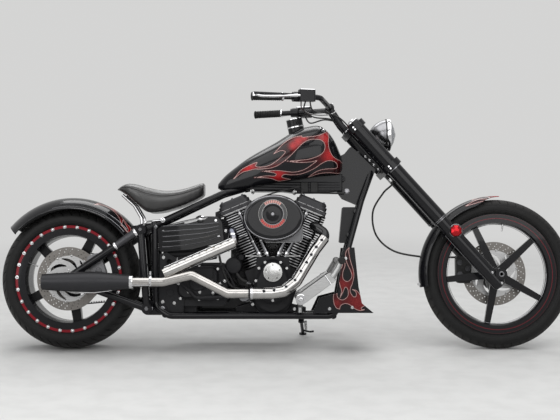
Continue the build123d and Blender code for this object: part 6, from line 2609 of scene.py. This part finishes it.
@dataclass
class FrameHardware:
    """Collars, bolts, key switch, coil box and the small lines along the frame."""

    def build(self) -> None:
        """Builds the frame's fine pieces."""
        collars, sleeve = Form(), Form()
        rear, joint = Vector((-1009, -168, 326.5)), Vector((-672, -168, 552))
        axis = (joint - rear).normalized()
        for side in Side:
            base = Vector((rear.x, side.value * 168.0, rear.z))
            for at in (262.0, 372.0):
                collars.lathe(
                    [(17, 0), (20.5, 0.5), (21.5, 3), (21.5, 9), (20.5, 11.5), (17, 12)],
                    along(base + axis * at, axis), 32,
                )
            sleeve.lathe([(17, 0), (20, 0), (20, 98), (17, 98)], along(base + axis * 274.0, axis), 36)
        collars.make("swingarm_collars", CHROME)
        sleeve.make("swingarm_sleeves", SHEEN_DARK)
        bolts, axle = Form(), Form()
        for side in Side:
            hand = side.value
            for x, y, z, size in (
                (-672, 184.8, 552, 9.0), (-640, 184.8, 192, 10.0), (-628, 113, 190, 7.5),
                (-573, 113, 190, 7.5), (-610, 113, 566, 6.5), (284, 26, 735, 9.0), (-1009, 190, 326.5, 14.0),
            ):
                bolts.bolt(facing(x, hand * y, z, side), size)
            bolts.lathe(
                [(8, 0), (14, 0), (14, 3), (12, 4.5), (8, 4.5)], facing(-1009, hand * 190.4, 326.5, side), 32
            )
            axle.ring(facing(987, hand * 156.2, 347.9, side), 7.0, 13.0, 3.0)
        bolts.make("frame_bolts", DARK_CHROME)
        axle.make("front_axle_rings", DARK_CHROME, Body.STEERING)
        key = Form().lathe(
            [(0, 0), (13, 0), (14, 2), (14, 16), (12, 19), (7, 19), (6, 16), (0, 16)],
            along((262, -26, 790), (0.1, -1, 0.15)), 32,
        )
        key.lathe([(0, 0), (9, 0), (9, 12), (0, 13)], along((232, -40, 800), (0.4, -1, 0.1)), 24)
        key.make("key_switch", SATIN)
        coil = Form()
        for dx in (0, 46):
            coil.plate([(-19, -26), (19, -26), (19, 26), (-19, 26)], facing(84 + dx, -34, 752), 30, 5)
        coil.plate([(-118, -3), (112, -3), (112, 3), (-118, 3)], facing(158, -62, 724), 4, 1)
        coil.make("coil_box", PLASTIC)
        self.tray()
        self.pivots()
        rod = Form().tube([(49, -74, 725), (271, -44, 722)], 2.6, 8)
        rod.bent(
            [
                (-474, -128, 296), (-440, -132, 262), (-413, -134, 240), (-360, -134, 240),
                (-203, -134, 246), (-60, -130, 250),
            ],
            9.0, 14, steps=10,
        )
        rod.make("frame_rods", SATIN)
        clutter = Form()
        for spot in ((372, -40, 899), (392, -44, 880), (412, -42, 858), (433, -44, 836)):
            clutter.bolt(along(spot, (0.6, -0.7, 0.2)), 5.5, Head.DOME)
        clutter.make("stem_hardware", CHROME)
        route = [
            fork(691, 40, -70), fork(640, 40, -72), (462, 42, 730), (412, 47, 640), (428, 60, 530),
            (510, 72, 456), (640, 80, 428), (740, 83, 425), (836, 84, 425),
        ]
        line = Form().bent(route, 4.6, 10, steps=10)
        line.make("brake_line", HOSE, Body.STEERING, ("front_brake_hose",))
        hose = Form().lathe(
            [(4, 0), (8, 0), (8.5, 2), (8.5, 18), (7, 20), (4, 20)], along(fork(668, 40, -70), -FORK_UP), 20
        )
        hose.lathe([(4, 0), (7.5, 0), (8, 2), (8, 16), (4, 17)], along((806, 84, 425), (1, 0, 0)), 6)
        hose.make("hose_fittings", BOLT_STEEL, Body.STEERING)
        caliper = Form()
        for x, z in ((820, 400), (820, 345), (858, 372)):
            caliper.lathe([(0, 0), (13, 0), (14, 2), (13, 4), (9, 4), (8, 2), (0, 2)], facing(x, 27.2, z), 28)
        caliper.bolts(flush(((815, 418), (815, 322), (862, 420)), 78.8, Side.LEFT), 6.0, Head.SOCKET)
        caliper.make("front_caliper_dress", SHEEN_DARK, Body.STEERING)
        rear_caliper = Form()
        for x, z in ((-868, 362), (-885, 410)):
            rear_caliper.lathe(
                [(0, 0), (14, 0), (15, 2), (14, 4), (9, 4), (8, 2), (0, 2)], facing(x, -135.8, z), 28
            )
        rear_caliper.bolts(flush(((-858, 428), (-893, 345)), -135.8), 5.5, Head.SOCKET)
        rear_caliper.make("rear_caliper_dress", DARK_CHROME)

    def tray(self) -> None:
        """Builds the ribbed cover of the coils below the tank and the rear engine mount."""
        outline = [
            (-196, 742), (-150, 733), (-20, 733), (30, 727), (196, 727), (262, 734), (262, 814), (160, 808),
            (60, 800), (-196, 768),
        ]
        cover = Form().plate(outline, facing(0, 58, 0), 116, 5)
        for side in Side:
            for rib in range(4):
                z = 739 + rib * 12
                cover.tube(
                    [(-180, side.value * 58, z + 3), (20, side.value * 59.5, z), (250, side.value * 59, z)],
                    [1.5, 3.2, 2.0], 8,
                )
        cover.make("coil_cover", SATIN)
        mounts, heads = Form(), Form()
        mounts.plate(
            [(-262, 330), (-150, 330), (-150, 440), (-190, 472), (-262, 472)], facing(0, 30, 0), 40, 3
        )
        for side in Side:
            corners = [(-328, 452), (-272, 452), (-266, 520), (-274, 606), (-306, 646), (-334, 634)]
            mounts.plate(mirrored(corners, side), facing(0, side.value * 60, 0, side), 6, 1.5)
            heads.bolts(flush(((-161, 734), (38, 730)), side.value * 62, side), 6.5, Head.DOME)
            heads.bolts(flush(((-300, 478), (-300, 610), (-284, 548)), side.value * 66, side), 5.5)
        mounts.make("rear_engine_mount", WRINKLE)
        base = Form().plate(
            [(-574, 474), (-574, 392), (-470, 396), (-330, 420), (-318, 474)][::-1], facing(0, 62, 0), 124, 4
        )
        for rib in range(3):
            base.tube(
                [(-566, -63, 414 + rib * 16), (-470, -65, 416 + rib * 17), (-334, -63, 436 + rib * 13)],
                [1.5, 3.4, 1.5], 8,
            )
        base.make("oil_tank_tray", WRINKLE)
        heads.make("mount_bolts", BOLT_STEEL)

    def pivots(self) -> None:
        """Builds the cast plates that carry the gearbox between the frame posts."""
        plates, heads = Form(), Form()
        corners = [(-590, 172), (-478, 172), (-474, 236), (-500, 300), (-512, 420), (-558, 448), (-590, 440)]
        windows = (circle(-546, 404, 12.0), circle(-548, 330, 9.0))
        for side in Side:
            holes = [mirrored(window, side) for window in windows]
            plates.pierced(mirrored(corners, side), holes, facing(0, side.value * 88, 0, side), 8.0)
            for (x, z), reach in (((-546, 404), 17.0), ((-540, 262), 20.0), ((-548, 330), 13.0)):
                plates.ring(facing(x, side.value * 95, z, side), reach - 5.0, reach, 3.0)
            heads.bolts(
                flush(((-574, 220), (-520, 214), (-512, 372), (-572, 424)), side.value * 96, side), 5.5
            )
        plates.make("pivot_plates", WRINKLE)
        heads.make("pivot_bolts", BOLT_STEEL)


@dataclass
class LeftSide:
    """Primary cover's round clutch lid, oval inspection lid, screws and the belt's teeth."""

    pulley: float = 124.5
    sprocket: float = 49.5

    def build(self) -> None:
        """Builds the left side's fine pieces."""
        lids, screws = Form(), Form()
        clutch = facing(-400, 212, 262, Side.LEFT)
        lids.lathe([(0, 0), (72, 0), (72, 4), (69, 7), (58, 8), (56, 6.5), (0, 9)], clutch, 64)
        oval = [
            (
                46 * math.copysign(abs(math.cos(a)) ** 0.8, math.cos(a)),
                22 * math.copysign(abs(math.sin(a)) ** 0.8, math.sin(a)),
            )
            for a in np.linspace(0, 2 * math.pi, 41)[:-1]
        ]
        lids.plate(oval, facing(-212, 212, 250, Side.LEFT), 5, 2)
        lids.make("primary_lids", CHROME)
        screws.bolts(around((-400, 0, 262), 63.0, 219.0, 5, 18.0, Side.LEFT), 4.0, Head.SOCKET, False)
        edge = (
            (-64, 296), (-21, 278), (-3, 235), (-21, 192), (-64, 174), (-176, 176), (-288, 177), (-400, 177),
            (-460, 202), (-485, 262), (-460, 322), (-400, 347), (-288, 330), (-176, 313),
        )
        screws.bolts(flush(edge, 211.5, Side.LEFT), 4.0, Head.SOCKET)
        screws.make("primary_screws", BOLT_STEEL)
        teeth = Form()
        for step in range(44):
            for run in (1, -1):
                start = Vector((REAR_AXLE[0], 0, REAR_AXLE[2] + run * self.pulley))
                end = Vector((-490, 0, 300 + run * self.sprocket))
                spot = start.lerp(end, step / 43)
                place = along((spot.x, 126.0, spot.z - run * 1.6), (0, 1, 0))
                teeth.lathe([(0, 0), (2.6, 0), (2.6, 19), (0, 19)], place, 6)
        teeth.make("belt_teeth", BELT)


@dataclass
class Studio:
    """Pale floor, soft lamps and the camera at the photograph's viewing angle."""

    lens: float = 82.9
    place: Point = (-0.031, -6.160, 1.2734)
    pitch: float = 2.0
    shift: float = -0.158
    sensor: float = 36.0
    fade: Flat = (1.6, 4.6)
    floor_color: Color = (0.60, 0.60, 0.59)
    haze: Color = (0.66, 0.66, 0.655)
    fill_color: Color = (0.80, 0.81, 0.83)
    fill_strength: float = 0.45

    def camera(self) -> None:
        """Sets the camera level with the photograph's, looking square at the machine's side."""
        data = bpy.data.cameras.new("camera")
        data.lens, data.sensor_width, data.shift_y = self.lens, self.sensor, self.shift
        made = bpy.data.objects.new("camera", data)
        made.location = self.place
        made.rotation_euler = (math.radians(90.0 - self.pitch), 0.0, 0.0)
        bpy.context.scene.collection.objects.link(made)
        bpy.context.scene.camera = made

    def lamp(self, name: str, at: Point, target: Point, size: Flat, power: float) -> None:
        """Adds one soft lamp.

        Args:
            name: Its name.
            at: Its place in metres.
            target: What it faces.
            size: Width and height in metres.
            power: Its power in watts.
        """
        data = bpy.data.lights.new(name, "AREA")
        data.shape, data.size, data.size_y, data.energy = "RECTANGLE", size[0], size[1], power
        made = bpy.data.objects.new(name, data)
        made.location = at
        made.rotation_euler = (Vector(target) - Vector(at)).to_track_quat("-Z", "Y").to_euler()
        bpy.context.scene.collection.objects.link(made)

    def world(self) -> None:
        """Sets a pale surround, brighter for the camera and for what gloss shows."""
        graph = Graph(bpy.data.worlds.new("surround"))
        bpy.context.scene.world = graph.owner
        path = graph.node("ShaderNodeLightPath", output="Is Camera Ray")
        rays = {0: path.also("Is Glossy Ray"), 1: path.also("Is Transmission Ray")}
        glossy = graph.node("ShaderNodeMath", {"operation": "MAXIMUM"}, rays)
        seen = graph.node("ShaderNodeMath", {"operation": "MAXIMUM"}, {0: path, 1: glossy})
        shown = graph.node("ShaderNodeBackground", {}, {0: self.haze, 1: 1.0})
        filling = graph.node("ShaderNodeBackground", {}, {0: self.fill_color, 1: self.fill_strength})
        choice = graph.node("ShaderNodeMixShader", {}, {0: seen, 1: filling, 2: shown})
        graph.node("ShaderNodeOutputWorld", {}, {0: choice})

    def floor(self) -> None:
        """Lays a wide pale floor that fades into the surround."""
        mesh = bpy.data.meshes.new("floor")
        half, steps = 30.0, 12
        axis = np.linspace(-half, half, steps + 1)
        verts = [(x, y, 0.0) for y in axis for x in axis]
        row = steps + 1
        faces = [
            (j * row + i, j * row + i + 1, (j + 1) * row + i + 1, (j + 1) * row + i)
            for j in range(steps)
            for i in range(steps)
        ]
        mesh.from_pydata(verts, [], faces)
        made = bpy.data.objects.new("floor", mesh)
        bpy.context.scene.collection.objects.link(made)
        graph = Graph(bpy.data.materials.new("studio_floor"))
        at = graph.node("ShaderNodeTexCoord", output="Object")
        x, y, _ = graph.parts(at)
        far = ((x * x + y * y) ** 0.5).ramp(*self.fade)
        grain = graph.node("ShaderNodeTexNoise", {}, {"Vector": at, "Scale": 9.0, "Detail": 6.0})
        tone = graph.mix(
            self.floor_color, tuple(channel * 0.93 for channel in self.floor_color), grain.ramp(0.35, 0.7)
        )
        shader = graph.node("ShaderNodeBsdfPrincipled", {}, {"Base Color": tone, "Roughness": 0.75})
        haze = graph.node("ShaderNodeEmission", {}, {"Color": self.haze, "Strength": 1.0})
        both = graph.node("ShaderNodeMixShader", {}, {0: far, 1: shader, 2: haze})
        graph.node("ShaderNodeOutputMaterial", {}, {"Surface": both})
        mesh.materials.append(graph.owner)

    def build(self) -> None:
        """Builds the whole studio."""
        self.camera()
        self.world()
        self.floor()
        self.lamp("overhead", (0.0, -0.7, 3.6), (0.0, 0.0, 0.5), (5.6, 3.2), 105.0)
        self.lamp("front_fill", (1.2, -4.4, 2.6), (0.2, 0.0, 0.5), (4.6, 3.0), 84.0)
        self.lamp("rear_fill", (-3.0, -3.4, 1.9), (-0.4, 0.0, 0.4), (2.8, 2.4), 52.0)
        self.lamp("far_side", (0.0, 2.6, 3.5), (0.0, 0.0, 0.6), (4.0, 1.4), 60.0)
        bpy.context.scene.view_settings.view_transform = "Standard"
        log.info("studio ready")


def main() -> None:
    """Builds the studio and every sub-assembly in order."""
    logging.basicConfig(level=logging.INFO, format="%(name)s: %(message)s")
    Studio().build()
    dress_nodes(NODE_FINISHES)
    pieces = (
        REAR_TYRE, FRONT_TYRE, RearWheel(), FrontWheel(), BrakeDiscs(), FuelTank(), Saddle(), Engine(),
        AirCleaner(), Exhaust(), OilTank(), Fenders(), ChinSpoiler(), Fork(), Headlight(), Handlebar(),
        Controls(), FrameHardware(), LeftSide(),
    )
    for piece in pieces:
        piece.build()


if __name__ == "__main__":
    main()
